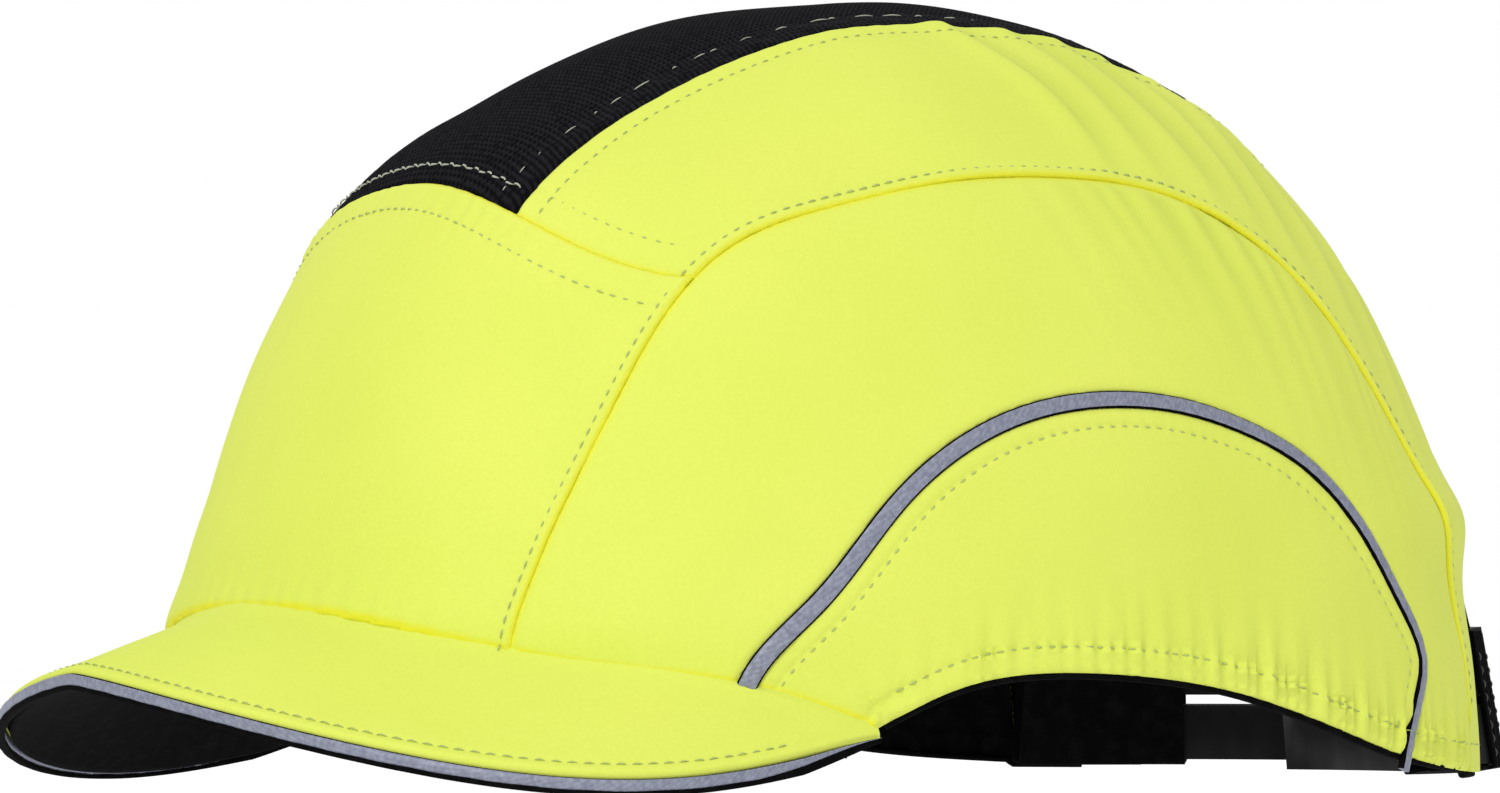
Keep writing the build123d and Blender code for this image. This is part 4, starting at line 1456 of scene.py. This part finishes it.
def sleeve(side):
    """A cloth tunnel for a strap: closed at its mouth, and open outwards under the panel."""
    outer, inner = round_loop(-4.25, 0.85, SLEEVE_HALF, 0.55), round_loop(-3.65, 0.25, 10.55, 0.12)
    rings = []
    for i, angle in enumerate(np.linspace(SLEEVE_START, SLEEVE_OPEN, 12)):
        swell = 0.1 * sin(i * 2.1)
        skin = [on_cone(o + swell * (o > 0), u, angle) for o, u in outer]
        rings.append(skin + [on_cone(o, u, angle) for o, u in inner])
    size, count = len(outer), len(rings)
    points = np.array(rings).reshape(-1, 3)
    faces = []
    for i in range(count - 1):
        for j in range(size):
            k = (j + 1) % size
            a, b, c, d = (i * 2 * size + j, i * 2 * size + k, (i + 1) * 2 * size + k,
                          (i + 1) * 2 * size + j)
            faces += [(a, b, c), (a, c, d), (a + size, c + size, b + size),
                      (a + size, d + size, c + size)]
    for j in range(size):
        k, last = (j + 1) % size, (count - 1) * 2 * size
        faces += [(j, j + size, k + size), (j, k + size, k)]
        faces += [(last + j, last + k + size, last + j + size), (last + j, last + k, last + k + size)]
    tunnel = points, np.array(faces)
    channel = [(-0.35, SLEEVE_HALF), (-4.0, SLEEVE_HALF), (-4.25, 10.8), (-4.25, -10.8),
               (-4.0, -SLEEVE_HALF), (-0.35, -SLEEVE_HALF), (-0.35, -10.55), (-3.65, -10.55),
               (-3.65, 10.55), (-0.35, 10.55)]
    rings = [[on_cone(o, u, angle) for o, u in channel] for angle in np.linspace(SLEEVE_OPEN, SLEEVE_END, 30)]
    back = np.array(rings).reshape(-1, 3), tube_faces(len(rings), len(channel))
    points, faces = joined([tunnel, back])
    points = points * (side, 1, 1)
    node = f"strap_sleeve_{hand(side)}"
    piece = add_piece(node + "_cloth", points, flipped(faces, side), None, [BLACK_TRIM],
                      "black_fabric", smooth=False)
    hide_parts(node)
    runs = []
    for angle in (48.2, 53.8):
        line = np.array([on_cone(0.88, up, angle) for up in np.linspace(-10, 10, 24)]) * (side, 1, 1)
        ups = line * (1, 1, 0) - (0, STRAP_Y, 0)
        runs.append((line, ups / np.linalg.norm(ups, axis=1)[:, None]))
    sew(f"sleeve_stitches_{hand(side)}", runs, BLACK_THREAD, "black_fabric", 2.2, 1.5, 0.16, 0.1)


sleeve(1)
sleeve(-1)


def finish_nodes():
    """Materials for the CAD nodes that stay as they are."""
    satin = moulded("adjuster_nylon", (0.006, 0.006, 0.0065), 0.55, gloss=0.15)
    strap_plastic = moulded("strap_polyethylene", (0.004, 0.004, 0.0045), 0.65, 0.4, 0.02, 0.08)
    shell = moulded("shell_plastic", (0.03, 0.032, 0.036), 0.38, 0.2)
    acetal = moulded("pinion_acetal", (0.68, 0.67, 0.62), 0.35, 0.15, 0.02)
    board = moulded("board_plastic", (0.05, 0.05, 0.055), 0.5)
    metal = steel("zinc_steel")
    looks = {"knob": satin, "ratchet_cover": satin, "ratchet_base": satin, "strap_left": strap_plastic,
             "strap_right": strap_plastic, "protective_shell": shell, "pinion": acetal,
             "peak_board": board, "knob_screw": metal, "click_spring": metal}
    for node, material in looks.items():
        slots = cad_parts[node].data.materials
        for i in range(len(slots)):
            slots[i] = material
        if not len(slots):
            slots.append(material)


finish_nodes()


# ---------------------------------------------------------------- stage, light and camera

FLOOR_HALF = 3.0            # half the floor's width, in metres


def stage():
    """A plain pale floor."""
    mesh = bpy.data.meshes.new("floor")
    size = FLOOR_HALF
    mesh.from_pydata([(-size, -size, 0), (size, -size, 0), (size, size, 0), (-size, size, 0)], [],
                     [(0, 1, 2, 3)])
    floor = bpy.data.objects.new("floor", mesh)
    bpy.context.scene.collection.objects.link(floor)
    floor.location.z = cad_low.z - 0.0002
    material = bpy.data.materials.new("floor_paper")
    material.use_nodes = True
    shader = material.node_tree.nodes["Principled BSDF"]
    shader.inputs["Base Color"].default_value = (0, 0, 0, 1)
    shader.inputs["Emission Color"].default_value = (1, 1, 1, 1)
    shader.inputs["Emission Strength"].default_value = 1.0
    shader.inputs["Roughness"].default_value = 0.9
    mesh.materials.append(material)


def area_light(name, place, target, size, power):
    light = bpy.data.lights.new(name, "AREA")
    light.shape = "RECTANGLE"
    light.size, light.size_y = size
    light.energy = power
    lamp = bpy.data.objects.new(name, light)
    lamp.location = place
    way = Vector(target) - Vector(place)
    lamp.rotation_euler = way.to_track_quat("-Z", "Y").to_euler()
    bpy.context.scene.collection.objects.link(lamp)


KEY_PLACE, KEY_TARGET = (0.75, -1.0, 0.85), (0.02, 0, 0.06)
KEY_SIZE, KEY_POWER = 0.45, 6.8
DIM_WAY = (-0.55, -0.83, 0.0)       # the world is dimmer towards here, and opposite


def lighting():
    """An even white world, dimmer along one level direction, and one soft lamp."""
    world = bpy.data.worlds.new("studio")
    world.use_nodes = True
    tree = world.node_tree
    background = tree.nodes["Background"]
    place = tree.nodes.new("ShaderNodeTexCoord")
    towards = tree.nodes.new("ShaderNodeVectorMath")
    towards.operation = "DOT_PRODUCT"
    towards.inputs[1].default_value = DIM_WAY
    tree.links.new(place.outputs["Generated"], towards.inputs[0])
    either = tree.nodes.new("ShaderNodeMath")
    either.operation = "ABSOLUTE"
    tree.links.new(towards.outputs["Value"], either.inputs[0])
    shade = tree.nodes.new("ShaderNodeMapRange")
    shade.interpolation_type = "SMOOTHSTEP"
    shade.inputs["From Min"].default_value = 0.12
    shade.inputs["To Min"].default_value = 1.0
    shade.inputs["To Max"].default_value = 0.5
    tree.links.new(either.outputs["Value"], shade.inputs["Value"])
    tree.links.new(shade.outputs["Result"], background.inputs["Strength"])
    background.inputs["Color"].default_value = (1, 1, 1, 1)
    bpy.context.scene.world = world
    area_light("key", KEY_PLACE, KEY_TARGET, (KEY_SIZE, KEY_SIZE), KEY_POWER)
    bpy.context.scene.view_settings.view_transform = "Standard"


CAMERA_TURN = 56.0          # degrees round from the front, towards the left side
CAMERA_REACH = 1018.0       # from the point that it turns about
CAMERA_CENTRE = (0, CROWN_Y, 19.85)
AIM = (-0.01298, 0.0398)    # to the right and up, as shares of the way ahead


def camera():
    """Near the height of the cap's lower edge, looking a little up."""
    turn = radians(CAMERA_TURN)
    ahead = Vector((-sin(turn), cos(turn), 0))
    right = Vector((cos(turn), sin(turn), 0))
    place = Vector(CAMERA_CENTRE) - ahead * CAMERA_REACH
    look = ahead + right * AIM[0] + Vector((0, 0, AIM[1]))
    data = bpy.data.cameras.new("camera")
    data.sensor_width, data.lens = 36, 155.3
    data.clip_start, data.clip_end = 0.05, 20
    view = bpy.data.objects.new("camera", data)
    view.location = place * MM
    view.rotation_euler = look.to_track_quat("-Z", "Y").to_euler()
    bpy.context.scene.collection.objects.link(view)
    bpy.context.scene.camera = view


stage()
lighting()
camera()
bpy.context.view_layer.update()
